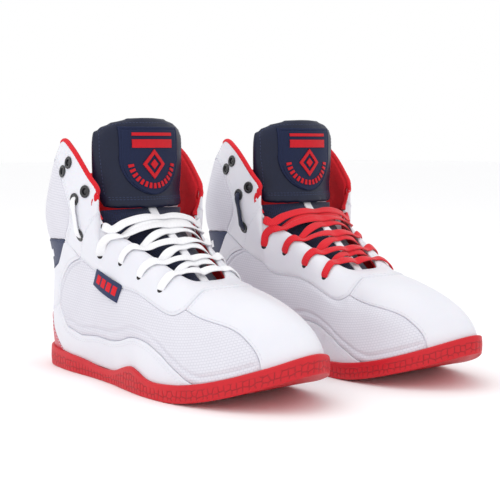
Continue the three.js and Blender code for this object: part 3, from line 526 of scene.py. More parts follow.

# split cowhide under a plate emboss: cool pale grey-white, drier than the smooth panels, with cells
# 2.6 by 1.9 mm raised about 0.2 mm between fine pressed lines, which are painted a darker grey as shade
embossed, tree, shader = finish("plate_embossed_white_leather", Roughness=0.56, IOR=1.5, Coat_Weight=0.04,
                                Coat_Roughness=0.4)
flat = add(tree, "ShaderNodeUVMap", uv_map="surface")
weave = add(tree, "ShaderNodeTexBrick", {"Vector": flat.outputs[0], "Scale": 1.0, "Mortar Size": 0.00034,
            "Mortar Smooth": 0.9, "Brick Width": EMBOSS[0] / 1000, "Row Height": EMBOSS[1] / 1000,
            "Color1": (1, 1, 1, 1), "Color2": (.78, .78, .78, 1), "Mortar": (0, 0, 0, 1)})
spot = add(tree, "ShaderNodeTexCoord")
cloud = add(tree, "ShaderNodeTexNoise", {"Vector": spot.outputs["Object"], "Scale": 55.0, "Detail": 3.0})
tone = add(tree, "ShaderNodeMix", {0: cloud.outputs["Fac"], 6: srgb("#DFDEE6"), 7: srgb("#D5D4DD")},
           data_type="RGBA")
# painted shade: the pressed lines between the cells are mixed towards a darker grey
line = add(tree, "ShaderNodeMix", {0: weave.outputs["Fac"], 6: tone.outputs[2], 7: srgb("#CAC9D3")},
           data_type="RGBA")
wire(tree, line.outputs[2], shader, "Base Color")
pore = add(tree, "ShaderNodeTexNoise", {"Vector": spot.outputs["Object"], "Scale": 1500.0, "Detail": 2.0})
fine = add(tree, "ShaderNodeBump", {"Strength": 0.2, "Distance": 0.0001, "Height": pore.outputs["Fac"]})
press = add(tree, "ShaderNodeBump",
            {"Strength": 0.4, "Distance": 0.0003, "Height": weave.outputs["Color"],
             "Normal": fine.outputs[0]})
wire(tree, press.outputs[0], shader, "Normal")


def quilted(low, high, rear, fore):
    """Foam swell with a sewn channel 6.5 mm in from the groove, dying out towards the other edges."""
    inner = np.clip(np.minimum.reduce([high, fore]) / 14, 0, 1)
    rim = np.minimum(low, rear * 1.2)
    swell = 1.9 * (1 - np.exp(-rim / 3.2)) * np.sin(inner * math.pi / 2) ** 0.8
    channel = 1.15 * np.exp(-((rim - 6.6) / 1.35) ** 2) * np.clip(inner * 2, 0, 1)
    return swell - channel


quarter = patch(along([*GROOVE, [.87, FOOT], [.925, FOOT]]), through(FACING_LOW), through(GROOVE_REAR),
                through(CAP_SEAM), 130, 60, .45)
ankle = patch(along(band_top), along([[-.165, 1], [.165, 1]]), through(mirror(WING_SEAM)),
              through(WING_SEAM), 90, 34)
padded_ankle = lambda low, high, rear, fore: 1.1 * (1 - np.exp(-np.minimum.reduce([low, high, rear,
        fore]) / 5))
for foot in FEET:
    body = f"{foot}_boot"
    for word, side in (("outer", 1), ("inner", -1)):
        panel(foot, f"embossed_quarter_{word}", quarter, embossed, "embossed_leather", body,
              [f"quarter_{word}"], side,
              lift=0, roll=.7, relief=quilted)
    panel(foot, "embossed_ankle", ankle, embossed, "embossed_leather", body, ["ankle_panel"], lift=-.1,
          depth=1.7,
          roll=1.4, relief=padded_ankle)

# ---- Lacing panel --------------------------------------------------------------------------------
# The U-shaped eyestay round the throat: one heavier piece of smooth white leather lapped over the
# quarters and toe cap, with punched holes that the lace drops into.
FACING_SEAM = [CORNER, [.345, .62], [.385, .74], [.42, .86], [.45, .94], [.475, 1]]
side_low, arc = through(FACING_LOW)(np.linspace(0, 1, 41)), through(CAP_ARC)(np.linspace(0, 1, 33))
stay_low = np.concatenate([side_low, arc[1:-1], side_low[::-1] * [-1, 1] + [2, 0]])
half = (len(stay_low) - 1) / 2
k = np.abs(np.arange(len(stay_low)) - half) / half
stay_high = np.stack([np.where(np.arange(len(stay_low)) <= half, 1 - .525 * k ** .92, 1 + .525 * k ** .92),
                      np.ones(len(stay_low))], 1)
stay = patch(along(stay_low), along(stay_high), through(FACING_SEAM), through(far(FACING_SEAM)), 160, 22, .35)
for foot in FEET:
    panel(foot, "lacing_panel", stay, white_leather, "white_leather", f"{foot}_boot", ["facing"], lift=1.05,
          roll=1.1)

# ---- Heel counter and heel band ------------------------------------------------------------------
# The counter is a thin moulded cup in a dusty red elastomer, cemented low round the heel. The band is
# a navy woven tape across the back of the ankle, with a plain row of white blocks woven in.
counter = patch(along([[-.225, FOOT], [.225, FOOT]]), along([[-COUNTER_TOP[0], .3], COUNTER_TOP]),
                through(mirror(COUNTER_EDGE)), through(COUNTER_EDGE), 70, 20)
band = patch(along(band_low), along(band_top), along(mirror([BAND_LOW, BAND_TOP])),
             along([BAND_LOW, BAND_TOP]), 90, 14)

# injection-moulded thermoplastic elastomer: dusty pink-red, satin, with a faint flow mottle
counter_elastomer, tree, shader = finish("moulded_dusty_red_elastomer", Roughness=0.42, IOR=1.5,
                                         Coat_Weight=0.12, Coat_Roughness=0.25)
spot = add(tree, "ShaderNodeTexCoord")
flow = add(tree, "ShaderNodeTexNoise", {"Vector": spot.outputs["Object"], "Scale": 45.0, "Detail": 4.0})
two_tone(tree, shader, flow.outputs["Fac"], "#CF4E5C", "#BC4352")
bump = add(tree, "ShaderNodeBump", {"Strength": 0.15, "Distance": 0.0002, "Height": flow.outputs["Fac"]})
wire(tree, bump.outputs[0], shader, "Normal")

# jacquard polyester tape: navy twill with a 0.9 mm rib, and white blocks 3 by 7 mm woven into it
heel_tape, tree, shader = finish("woven_navy_tape", Roughness=0.78, IOR=1.48, Sheen_Weight=0.25,
                                 Sheen_Roughness=0.4)
flat = add(tree, "ShaderNodeUVMap", uv_map="surface")
rib = add(tree, "ShaderNodeTexWave", {"Vector": flat.outputs[0], "Scale": 350.0, "Distortion": 0.4},
          bands_direction="DIAGONAL")
ink = add(tree, "ShaderNodeMix", {0: rib.outputs["Fac"], 6: srgb("#1B2547"), 7: srgb("#26335C")},
          data_type="RGBA")
wire(tree, ink.outputs[2], shader, "Base Color")
bump = add(tree, "ShaderNodeBump", {"Strength": 0.5, "Distance": 0.0002, "Height": rib.outputs["Fac"]})
wire(tree, bump.outputs[0], shader, "Normal")
# the same yarn in white for the blocks
white_yarn, tree, shader = finish("woven_white_yarn", Roughness=0.75, IOR=1.48, Sheen_Weight=0.2,
                                  Sheen_Roughness=0.4)
flat = add(tree, "ShaderNodeUVMap", uv_map="surface")
rib = add(tree, "ShaderNodeTexWave", {"Vector": flat.outputs[0], "Scale": 420.0, "Distortion": 0.3},
          bands_direction="Y")
pale = add(tree, "ShaderNodeMix", {0: rib.outputs["Fac"], 6: srgb("#E4E4EA"), 7: srgb("#F6F6F9")},
           data_type="RGBA")
wire(tree, pale.outputs[2], shader, "Base Color")
bump = add(tree, "ShaderNodeBump", {"Strength": 0.4, "Distance": 0.00015, "Height": rib.outputs["Fac"]})
wire(tree, bump.outputs[0], shader, "Normal")


def gathered(parts):
    """Several closed shells, each (points, faces, pattern map), as one."""
    shift, points, faces, maps = 0, [], [], []
    for p, f, uv in parts:
        faces += [tuple(int(i) + shift for i in face) for face in f]
        points.append(p)
        maps.append(uv)
        shift += len(p)
    return np.concatenate(points), faces, np.concatenate(maps)


def block(girths, heights, lift, depth=.3, n=5, m=5):
    """A small raised rectangle on the last."""
    g, h = np.meshgrid(np.linspace(*girths, n), np.linspace(*heights, m), indexing="ij")
    verts, faces = shell(on_last(g, h, lift * np.ones_like(g)), on_last(g, h, -depth * np.ones_like(g)))
    return verts, faces, np.tile(surface_mm(np.stack([g, h], -1)).reshape(-1, 2), (2, 1))


for foot in FEET:
    body = f"{foot}_boot"
    panel(foot, "heel_counter_moulding", counter, counter_elastomer, "pink_counter", body, ["heel_counter"],
          lift=.95)
    panel(foot, "heel_tape", band, heel_tape, "navy_band", body, ["heel_band"], lift=.5, roll=.5)
    verts, faces, flat = gathered([block((g - .011, g + .011), (.505, .53), .62) for g in np.arange(-.15,
            .151, .05)])
    settle(solid(f"{foot}_heel_tape_blocks", foot, verts, faces, white_yarn, flat), "white_lace", body)

# ---- Ankle wings ---------------------------------------------------------------------------------
# Two lined flaps of smooth white leather that wrap the ankle, sewn to the ankle panel at the back and
# to the rear wrap below. On the boot they bend open along their back seam; here they are baked in place.
wing_front = [[g + .013, h] for g, h in FACING_SEAM]
wing_grid = patch(along([BAND_TOP, wing_front[0]]), along([[.165, 1], wing_front[5]]), through(WING_SEAM),
                  through(wing_front), 70, 44)
SWING = {}
for foot in FEET:
    for word, side in (("outer", 1), ("inner", -1)):
        low, high = place([[side * 44, 88, 109], [side * 48, 82, 152]], foot)
        SWING[foot, word] = (f"{foot}_boot", f"{foot}_wing_{word}", tuple(map(float, low)),
                             tuple(map(float, high)))
        panel(foot, f"ankle_wing_{word}", wing_grid, white_leather, "white_leather", SWING[foot, word],
              [f"wing_{word}"],
              side, lift=.55, depth=1.5, roll=1.2)

# ---- Red collar lining and foot lining -----------------------------------------------------------
# Brushed red tricot over foam lines the wings and the back of the ankle, rolls over the front edge of
# each wing as a bound bead, and carries on down inside the boot as a thinner sleeve.
BEAD = 1.7                        # radius of the bound edge

# warp-knit polyester tricot with a brushed face: deep saturated red, soft sheen at grazing angles,
# stitch rows about 1 mm apart
red_tricot, tree, shader = finish("brushed_red_tricot", Roughness=0.85, IOR=1.46, Sheen_Weight=0.5,
                                  Sheen_Roughness=0.45,
                                  Sheen_Tint=srgb("#FF6A70"))
spot = add(tree, "ShaderNodeTexCoord")
nap = add(tree, "ShaderNodeTexNoise", {"Vector": spot.outputs["Object"], "Scale": 240.0, "Detail": 4.0})
two_tone(tree, shader, nap.outputs["Fac"], "#E11325", "#C40C1D")
flat = add(tree, "ShaderNodeUVMap", uv_map="surface")
knit = add(tree, "ShaderNodeTexBrick",
           {"Vector": flat.outputs[0], "Scale": 1.0, "Mortar Size": 0.0002, "Mortar Smooth": 1.0,
           "Brick Width": 0.0011, "Row Height": 0.0009, "Color1": (1, 1, 1, 1), "Color2": (.8, .8, .8, 1),
                                        "Mortar": (0, 0, 0, 1)})
bump = add(tree, "ShaderNodeBump", {"Strength": 0.45, "Distance": 0.0002, "Height": knit.outputs["Color"]})
wire(tree, bump.outputs[0], shader, "Normal")


def lining_pad(grid, side, outer, thick, crown, roll=3.0):
    """Padded lining behind the leather: flat against it, crowned on the foot side."""
    grid = grid * np.array([side, 1])
    near = np.clip(np.minimum.reduce(edge_distances(on_last(grid[..., 0], grid[..., 1]))) / roll, 0, 1)
    puff = np.clip(np.minimum.reduce(edge_distances(on_last(grid[..., 0], grid[..., 1]))) / 22, 0, 1)
    round_in = thick * np.sqrt(1 - (1 - near) ** 2) + crown * np.sin(puff * math.pi / 2)
    front = on_last(grid[..., 0], grid[..., 1], -outer * np.ones(grid.shape[:2]))
    back = on_last(grid[..., 0], grid[..., 1], -outer - np.maximum(round_in, .05))
    verts, faces = shell(front, back)
    return verts, faces, np.tile(surface_mm(grid).reshape(-1, 2), (2, 1))


def ribbon(points, normals, width, thick, sides=12, square=3.0, ends=True):
    """A strip or cord with a soft-cornered section swept along its centre line; pattern map runs along it."""
    p, n = np.asarray(points, float), np.asarray(normals, float)
    t = unit(np.gradient(p, axis=0))
    side = unit(np.cross(t, n))
    up = np.cross(side, t)
    a = np.linspace(0, 2 * math.pi, sides, endpoint=False)
    ca, sa = np.cos(a), np.sin(a)
    cx, cz = np.sign(ca) * np.abs(ca) ** (2 / square), np.sign(sa) * np.abs(sa) ** (2 / square)
    width, thick = np.broadcast_to(width, len(p)), np.broadcast_to(thick, len(p))
    ring = p[:, None] + side[:, None] * (cx[None, :, None] * width[:, None, None] / 2) + up[:,
            None] * (cz[None, :, None] * thick[:, None, None] / 2)
    m, idx = len(p), np.arange(len(p) * sides).reshape(len(p), sides)
    faces = [(idx[i, j], idx[i, (j + 1) % sides], idx[i + 1, (j + 1) % sides],
              idx[i + 1, j]) for i in range(m - 1) for j in range(sides)]
    if ends:
        faces += [tuple(idx[0, ::-1]), tuple(idx[-1])]
    run = np.concatenate([[0], np.cumsum(np.linalg.norm(np.diff(p, axis=0), axis=1))])
    flat = np.stack([np.repeat(run[:, None], sides, 1), np.tile(cx * 3 + (sa < 0) * 7, (m, 1))], -1)
    return ring.reshape(-1, 3), faces, flat.reshape(-1, 2)


def smooth_path(points, step=1.0):
    """Points along a smooth curve through the given ones, step mm apart."""
    q = np.asarray(points, float)
    s = np.concatenate([[0], np.cumsum(np.linalg.norm(np.diff(q[:, :3], axis=0), axis=1))])
    return follow(np.column_stack([s, q]), np.linspace(0, s[-1], max(int(s[-1] / step), 2) + 1))


back_pad = patch(along([[-.165, .56], [.165, .56]]), along([[-.165, 1], [.165, 1]]),
                 along([[-.245, .56], [-.165, 1]]),
                 along([[.245, .56], [.165, 1]]), 60, 34)
pad_front = [[g - .008, h] for g, h in FACING_SEAM]
wing_pad = patch(along([[.235, .54], [.318, .56]]), along([[.165, 1], pad_front[5]]),
                 through([[.235, .54], *WING_SEAM[1:]]),
                 through([[.318, .56], *pad_front[1:]]), 50, 34)
for foot in FEET:
    body = f"{foot}_boot"
    made = solid(f"{foot}_ankle_pad", foot, *lining_pad(back_pad, 1, 1.5, 2.6, 3.0)[:2], red_tricot,
                 lining_pad(back_pad, 1, 1.5, 2.6, 3.0)[2])
    settle(made, "red_lining", body)
    for word, side in (("outer", 1), ("inner", -1)):
        verts, faces, flat = lining_pad(wing_pad, side, 1.4, 2.8, 2.4)
        made = solid(f"{foot}_wing_pad_{word}", foot, verts, faces, red_tricot, flat)
        settle(made, "red_lining", SWING[foot, word])
        girths = np.linspace(.222, .477, 90) * side
        heights = np.full(90, .9995)
        line, facing_out = on_last(girths, heights, -1.1 * np.ones(90)), last_normal(girths, heights)
        swell = BEAD * 2 * (1 + .03 * np.sin(np.arange(90) * 2.4)) * np.clip(np.arange(90) / 6 + .25, 0, 1)
        settle(solid(f"{foot}_wing_bead_{word}", foot,
                     *ribbon(line + [0, 0, .8], facing_out, swell, swell * 1.15, 10, 2.2)[:2],
                     red_tricot, ribbon(line, facing_out, swell, swell, 10, 2.2)[2]), "red_lining",
               SWING[foot, word])
    # the sleeve inside the foot, and the rolled edge of it that shows under the lacing panel
    round_foot = np.linspace(-1, 1, 241)[:-1]
    top = lambda u: np.interp(u, [0, .31, .345, .385, .425, .47, .51, .57, 1],
                              [.56, .56, .56, .58, .64, .76, .86, .93, .95])
    grid = np.stack([np.repeat(round_foot[:, None], 26, 1),
                     FOOT + (top(np.abs(round_foot))[:, None] - FOOT) * np.linspace(0, 1, 26)], -1)
    front, back = on_last(grid[..., 0], grid[..., 1], -2.0 * np.ones(grid.shape[:2])), on_last(grid[..., 0],
            grid[..., 1], -4.6 * np.ones(grid.shape[:2]))
    verts, faces = shell(front, back, wrap=True)
    made = solid(f"{foot}_foot_lining", foot, verts, faces, red_tricot,
                 np.tile(surface_mm(grid).reshape(-1, 2), (2, 1)))
    settle(made, "red_lining", body, f"{foot}_lining")
    g = np.linspace(.48, 1.52, 200)
    edge = ribbon(on_last(g, np.full(200, .995), -1.9 * np.ones(200)), last_normal(g, np.full(200, .995)),
                  2.2, 1.6, 8, 2.2)
    settle(solid(f"{foot}_throat_binding", foot, edge[0], edge[1], red_tricot, edge[2]), "red_lining", body)

# ---- Sockliner -----------------------------------------------------------------------------------
# A die-cut foam insole under navy cloth, lying loose on the foot bed, dished a little at the heel.
# plain-weave polyester cloth bonded to foam: navy, dry, threads drawn about 1 mm apart
navy_cloth, tree, shader = finish("plain_weave_navy_cloth", Roughness=0.9, IOR=1.46, Sheen_Weight=0.3,
                                  Sheen_Roughness=0.5)
spot = add(tree, "ShaderNodeTexCoord")
warp = add(tree, "ShaderNodeTexWave", {"Vector": spot.outputs["Object"], "Scale": 320.0}, bands_direction="X")
weft = add(tree, "ShaderNodeTexWave", {"Vector": spot.outputs["Object"], "Scale": 320.0}, bands_direction="Y")
cross = add(tree, "ShaderNodeMath", {0: warp.outputs["Fac"], 1: weft.outputs["Fac"]}, operation="MULTIPLY")
two_tone(tree, shader, cross.outputs[0], "#141A33", "#222C4E")
bump = add(tree, "ShaderNodeBump", {"Strength": 0.4, "Distance": 0.0003, "Height": cross.outputs[0]})
wire(tree, bump.outputs[0], shader, "Normal")

for foot in FEET:
    u = np.linspace(0, 1, 90)
    room, mid = 7.05, np.array([2., 141.])
    scale = np.array([1 - room / 43, 1 - room / 137])
    edge = [mid + (sole_line(s * u)[0] - mid) * scale for s in (1, -1)]
    k = (0.5 - 0.5 * np.cos(np.linspace(0, math.pi, 25)))[None, :, None]
    plan = edge[0][:, None] * (1 - k) + edge[1][:, None] * k
    z = follow(SOLE_LINE_Z, plan[..., 1])[..., 0]
    rim = np.clip(np.minimum(k[..., 0], 1 - k[..., 0]) * 9, 0,
                  1) * np.clip(np.minimum(u, 1 - u)[:, None] * 26, 0, 1)
    dish = .9 * (1 - np.sin(rim * math.pi / 2)) * np.clip(1 - plan[..., 1] / 120, 0, 1)
    lo = np.concatenate([plan, z[..., None]], -1)
    hi = np.concatenate([plan, (z + 3.5 * np.sqrt(np.clip(1 - (1 - np.clip(rim * 3 + .1, 0, 1)) ** 2, .02,
                                                          1)) + dish)[..., None]], -1)
    verts, faces = shell(hi, lo)
    made = solid(f"{foot}_foam_sockliner", foot, verts, faces, navy_cloth,
                 np.tile(plan.reshape(-1, 2), (2, 1)))
    settle(made, "navy_foam", f"{foot}_boot", f"{foot}_sockliner")

# ---- Eyelets -------------------------------------------------------------------------------------
# Two-part pressed brass eyelets, enamelled black and clinched through each wing: a rolled flange, a
# throat that dips into the leather and a dark hole.
EYELETS = {"a": [.287, .838], "b": [.267, .769], "c": [.354, .819], "d": [.321, .719], "e": [.333, .606]}
RING, ROLL, HOLE = 3.45, 1.15, 2.3   # middle of the rolled flange, its section radius, and the open hole

# stoved black enamel on pressed brass: near black, glossy with slightly rubbed high spots
black_enamel, tree, shader = finish("stoved_black_enamel", IOR=1.5, Coat_Weight=0.35, Coat_Roughness=0.15)
spot = add(tree, "ShaderNodeTexCoord")
rub = add(tree, "ShaderNodeTexNoise", {"Vector": spot.outputs["Object"], "Scale": 500.0, "Detail": 3.0})
two_tone(tree, shader, rub.outputs["Fac"], "#0B0B0E", "#1F1F24")
dull = add(tree, "ShaderNodeMapRange", {"Value": rub.outputs["Fac"], "To Min": 0.25, "To Max": 0.5})
wire(tree, dull.outputs[0], shader, "Roughness")


def seats(name, foot, points, outs, alongs):
    """Loose points with their outward and lengthways directions, for a geometry tree to build on."""
    mesh = bpy.data.meshes.new(name)
    co = place(points, foot)
    base = place(np.zeros((1, 3)), foot)
    mesh.from_pydata(co.tolist(), [], [])
    for key, v in (("out", outs), ("lengthways", alongs)):
        turned = unit(place(np.asarray(v) + 0.0, foot) - base)
        mesh.attributes.new(key, "FLOAT_VECTOR", "POINT").data.foreach_set("vector",
                turned.astype(np.float32).ravel())
    obj = bpy.data.objects.new(name, mesh)
    bpy.context.scene.collection.objects.link(obj)
    return obj


def put_on_seats(tree, given, shape, material):
    """Stands a shape on every seat, z outwards and x lengthways, as real geometry in one finish."""
    out = add(tree, "GeometryNodeInputNamedAttribute", {"Name": "out"}, data_type="FLOAT_VECTOR")
    run = add(tree, "GeometryNodeInputNamedAttribute", {"Name": "lengthways"}, data_type="FLOAT_VECTOR")
    turn = add(tree, "FunctionNodeAxesToRotation", {0: out.outputs[0], 1: run.outputs[0]}, primary_axis="Z",
               secondary_axis="X")
    many = add(tree, "GeometryNodeInstanceOnPoints",
               {"Points": given.outputs[0], "Instance": shape, "Rotation": turn.outputs[0]})
    real = add(tree, "GeometryNodeRealizeInstances", {0: many.outputs[0]})
    soft = add(tree, "GeometryNodeSetShadeSmooth", {0: real.outputs[0]})
    return add(tree, "GeometryNodeSetMaterial",
               {"Geometry": soft.outputs[0], "Material": material}).outputs[0]


def scaled_mm(tree, socket, factor=0.001):
    return add(tree, "ShaderNodeMath", {0: socket, 1: factor}, operation="MULTIPLY").outputs[0]


def eyelet_rings(tree, given):
    path = add(tree, "GeometryNodeCurvePrimitiveCircle",
               {"Resolution": 28, "Radius": scaled_mm(tree, given.outputs["Ring radius"])})
    section = add(tree, "GeometryNodeCurvePrimitiveCircle",
                  {"Resolution": 12, "Radius": scaled_mm(tree, given.outputs["Flange radius"])})
    ring = add(tree, "GeometryNodeCurveToMesh", {0: path.outputs[0], 1: section.outputs[0]})
    squat = add(tree, "GeometryNodeTransform", {"Geometry": ring.outputs[0], "Scale": (1, 1, .62)})
    well = add(tree, "GeometryNodeMeshCylinder",
               {"Vertices": 24, "Radius": scaled_mm(tree, given.outputs["Hole radius"], .00104),
               "Depth": scaled_mm(tree, given.outputs["Flange radius"], .0009)})
    both = add(tree, "GeometryNodeJoinGeometry")
    for part in (squat.outputs[0],
                 add(tree, "GeometryNodeTransform",
                     {"Geometry": well.outputs[0], "Translation": (0, 0, -.0006)}).outputs[0]):
        tree.links.new(part, both.inputs[0])
    return put_on_seats(tree, given, both.outputs[0], black_enamel)


for foot in FEET:
    for word, side in (("outer", 1), ("inner", -1)):
        g, h = np.array(list(EYELETS.values())).T
        g = g * side
        ring = seats(f"{foot}_eyelets_{word}", foot, on_last(g, h, np.full(5, .95)), last_normal(g, h),
                     np.tile([0, 0, 1.], (5, 1)))
        grown(ring, "eyelet_rings", {"Ring radius": RING, "Flange radius": ROLL, "Hole radius": HOLE},
              eyelet_rings)
        settle(ring, "black_eyelet", SWING[foot, word], *[f"{foot}_eyelet_{word}_{n}" for n in EYELETS])

# ---- Lower tongue --------------------------------------------------------------------------------
# The tongue under the lacing is a thin padded panel of navy mesh-backed cloth, sewn in at the front of
# the throat, with a white woven tape down its middle.
TONGUE_LINE = [[0, 188, 62.5], [.2, 171, 73.5], [.38, 155, 86.5], [.6, 137, 101.5], [.78, 122, 113],
               [.9, 113.5, 119.5], [1, 109.5, 124]]
TONGUE_HALF = [[0, 15], [.2, 20], [.38, 25], [.6, 31], [.78, 35], [.9, 37], [1, 37.5]]
TONGUE_ROUND = [[0, .0175], [.6, .0175], [.8, .0145], [1, .0085]]
TAPE_WIDTH = 7.0


def tongue_point(q, x, off=0.0):
    a, b = follow(TONGUE_LINE, np.maximum(q - .01, 0)), follow(TONGUE_LINE, np.minimum(q + .01, 1))
    n = unit(np.stack([b[..., 1] - a[..., 1], -(b[..., 0] - a[..., 0])], -1))
    turn = np.clip((np.asarray(q, float)[..., None] - .8) / .2, 0, 1)
    n = unit(n * (1 - turn) + np.array([1., .12]) * turn)
    drop = off - follow(TONGUE_ROUND, q)[..., 0] * x * x
    c = follow(TONGUE_LINE, q)
    return np.stack([x + 0 * drop, c[..., 0] + n[..., 0] * drop, c[..., 1] + n[..., 1] * drop], -1)


# air-mesh polyester: dark navy knit with small open cells about 1.3 mm across, their openings painted darker as shade
navy_mesh, tree, shader = finish("navy_air_mesh", Roughness=0.88, IOR=1.46, Sheen_Weight=0.3,
                                 Sheen_Roughness=0.5)
flat = add(tree, "ShaderNodeUVMap", uv_map="surface")
hole = add(tree, "ShaderNodeTexVoronoi", {"Vector": flat.outputs[0], "Scale": 760.0, "Randomness": 0.25},
           voronoi_dimensions="2D")
open_cell = add(tree, "ShaderNodeMapRange",
                {"Value": hole.outputs["Distance"], "From Min": 0.15, "From Max": 0.5})
# painted shade: the middles of the open cells are mixed towards the darker navy
two_tone(tree, shader, open_cell.outputs[0], "#0C1022", "#202A50")
bump = add(tree, "ShaderNodeBump", {"Strength": 0.6, "Distance": 0.0003, "Height": open_cell.outputs[0]})
wire(tree, bump.outputs[0], shader, "Normal")

for foot in FEET:
    q, s = np.meshgrid(np.linspace(0, 1, 70), np.linspace(-1, 1, 45), indexing="ij")
    x = s * follow(TONGUE_HALF, q)[..., 0]
    rim = np.clip((1 - np.abs(s)) * 30 / 2, 0, 1)
    soft = .5 * np.cos(q * 46) ** 2 * rim
    front, back = tongue_point(q, x, -.5 - .4 * soft - (1 - rim)), tongue_point(q, x, np.full(q.shape, -3.0))
    flat = np.stack([x, q * 110], -1).reshape(-1, 2)
    made = solid(f"{foot}_tongue_mesh_panel", foot, *shell(front, back), navy_mesh, np.tile(flat, (2, 1)))
    settle(made, "navy_textile", f"{foot}_boot", f"{foot}_tongue_lower")
    q, s = np.meshgrid(np.linspace(.01, 1, 90), np.linspace(-1, 1, 9), indexing="ij")
    x = s * TAPE_WIDTH / 2
    edge = .35 * (1 - np.abs(s) ** 6)
    front, back = tongue_point(q, x, .15 + edge), tongue_point(q, x, np.full(q.shape, -1.2))
    flat = np.stack([x, q * 110], -1).reshape(-1, 2)
    settle(solid(f"{foot}_tongue_tape", foot, *shell(front, back), white_yarn, np.tile(flat, (2, 1))),
           "white_lace", f"{foot}_boot")

# ---- Padded tongue top ---------------------------------------------------------------------------
# A stuffed navy leather pad, front and back sewn together round the sides and top and closed by a seam
# across the bottom, where it folds. The foam swells it between its seams.
PAD_LOW, PAD_TOP, PAD_THICK = 122.6, 190.0, 14.0
PAD_SWELL = 0.0032                # how far the stuffing may push the leather out, in metres


def pad_point(s, r, sign, tuck=0.0):
    """Front (+1) or back (-1) of the pad: s across, -1 to 1, and r up, 0 to 1."""
    half = 37 + 5.5 * np.sin(np.minimum(r * 1.6, 1) * math.pi / 2) - tuck
    edge = np.sqrt(np.maximum(1 - np.abs(s) ** 4,
                              0)) * np.sqrt(np.maximum(1 - np.abs(2 * r - 1) ** np.where(r < .5, 16, 5), 0))
    hem = 6.1 * np.maximum(1 - r / .3, 0) ** 2
    x = s * half * (1 - .03 * np.clip((r - .8) / .2, 0, 1) ** 2)
    crest = (PAD_TOP - PAD_LOW - 2 * tuck) * r * (1 - .15 * np.abs(s) ** 3.6 + .008 * np.cos(s * 4))
    return np.stack([x, 103 + hem - .0075 * x * x + sign * edge * (PAD_THICK / 2 - tuck * .6),
                     PAD_LOW + tuck + crest], -1)


# aniline-dyed nappa over foam: deep ink navy with a soft gloss, pebble grain about 1 mm, lighter
# where the swell is stretched
navy_nappa, tree, shader = finish("navy_nappa_leather", IOR=1.5, Specular_IOR_Level=0.3, Coat_Weight=0.05,
                                  Coat_Roughness=0.32)
spot = add(tree, "ShaderNodeTexCoord")
dye = add(tree, "ShaderNodeTexNoise", {"Vector": spot.outputs["Object"], "Scale": 38.0, "Detail": 4.0})
two_tone(tree, shader, dye.outputs["Fac"], "#0B1228", "#131C38")
satin = add(tree, "ShaderNodeMapRange", {"Value": dye.outputs["Fac"], "To Min": 0.38, "To Max": 0.54})
wire(tree, satin.outputs[0], shader, "Roughness")
pebble = add(tree, "ShaderNodeTexVoronoi", {"Vector": spot.outputs["Object"], "Scale": 950.0},
             feature="SMOOTH_F1")
wrinkle = add(tree, "ShaderNodeTexNoise", {"Vector": spot.outputs["Object"], "Scale": 150.0, "Detail": 3.0})
fine = add(tree, "ShaderNodeBump",
           {"Strength": 0.35, "Distance": 0.00015, "Height": pebble.outputs["Distance"]})
bump = add(tree, "ShaderNodeBump",
           {"Strength": 0.18, "Distance": 0.0006, "Height": wrinkle.outputs["Fac"],
            "Normal": fine.outputs[0]})
wire(tree, bump.outputs[0], shader, "Normal")


def stuffed(points, faces):
    """Blows a closed pad up against its own leather and returns its points and faces, in mm."""
    mesh = bpy.data.meshes.new("pad_blank")
    mesh.from_pydata((np.asarray(points) / 1000).tolist(), [], [tuple(map(int, f)) for f in faces])
    pad = bpy.data.objects.new("pad_blank", mesh)
    bpy.context.scene.collection.objects.link(pad)
    weld = pad.modifiers.new("weld", "WELD")
    weld.merge_threshold = 1e-5
    remesh = pad.modifiers.new("voxels", "REMESH")
    remesh.mode, remesh.voxel_size = "VOXEL", 0.0035
    graph = bpy.context.evaluated_depsgraph_get()
    mesh = bpy.data.meshes.new_from_object(pad.evaluated_get(graph))
    pad.modifiers.clear()
    pad.data = mesh
    rest = np.array([v.co for v in mesh.vertices])
    cloth = pad.modifiers.new("leather", "CLOTH")
    cloth.settings.quality, cloth.settings.mass = 6, 0.3
    cloth.settings.tension_stiffness = cloth.settings.compression_stiffness = 15
    cloth.settings.use_pressure, cloth.settings.uniform_pressure_force = True, 4
    cloth.settings.effector_weights.gravity = 0
    cloth.point_cache.frame_start, cloth.point_cache.frame_end = 1, 20
    for step in range(1, 21):
        bpy.context.scene.frame_set(step)
    mesh = bpy.data.meshes.new_from_object(pad.evaluated_get(bpy.context.evaluated_depsgraph_get()))
    pad.modifiers.clear()
    bpy.context.scene.frame_set(1)
    now = np.array([v.co for v in mesh.vertices])
    move = now - rest
    far_off = np.linalg.norm(move, axis=1, keepdims=True)
    now = rest + move * np.minimum(1, PAD_SWELL / np.maximum(far_off, 1e-9))
    mesh.vertices.foreach_set("co", now.astype(np.float32).ravel())
    pad.data = mesh
    fine = pad.modifiers.new("smooth", "SUBSURF")
    fine.levels = fine.render_levels = 1
    mesh = bpy.data.meshes.new_from_object(pad.evaluated_get(bpy.context.evaluated_depsgraph_get()))
    bpy.data.objects.remove(pad)
    return np.array([v.co for v in mesh.vertices]) * 1000, [tuple(p.vertices) for p in mesh.polygons]


s, r = np.meshgrid(np.sin(np.linspace(-1, 1, 41) * math.pi / 2),
                   (np.sin(np.linspace(-1, 1, 33) * math.pi / 2) + 1) / 2, indexing="ij")
blank = shell(pad_point(s, r, 1, .3), pad_point(s, r, -1, .3))
pad_points, pad_faces = stuffed(*blank)
pad_skin = BVHTree.FromPolygons(pad_points.tolist(), pad_faces)


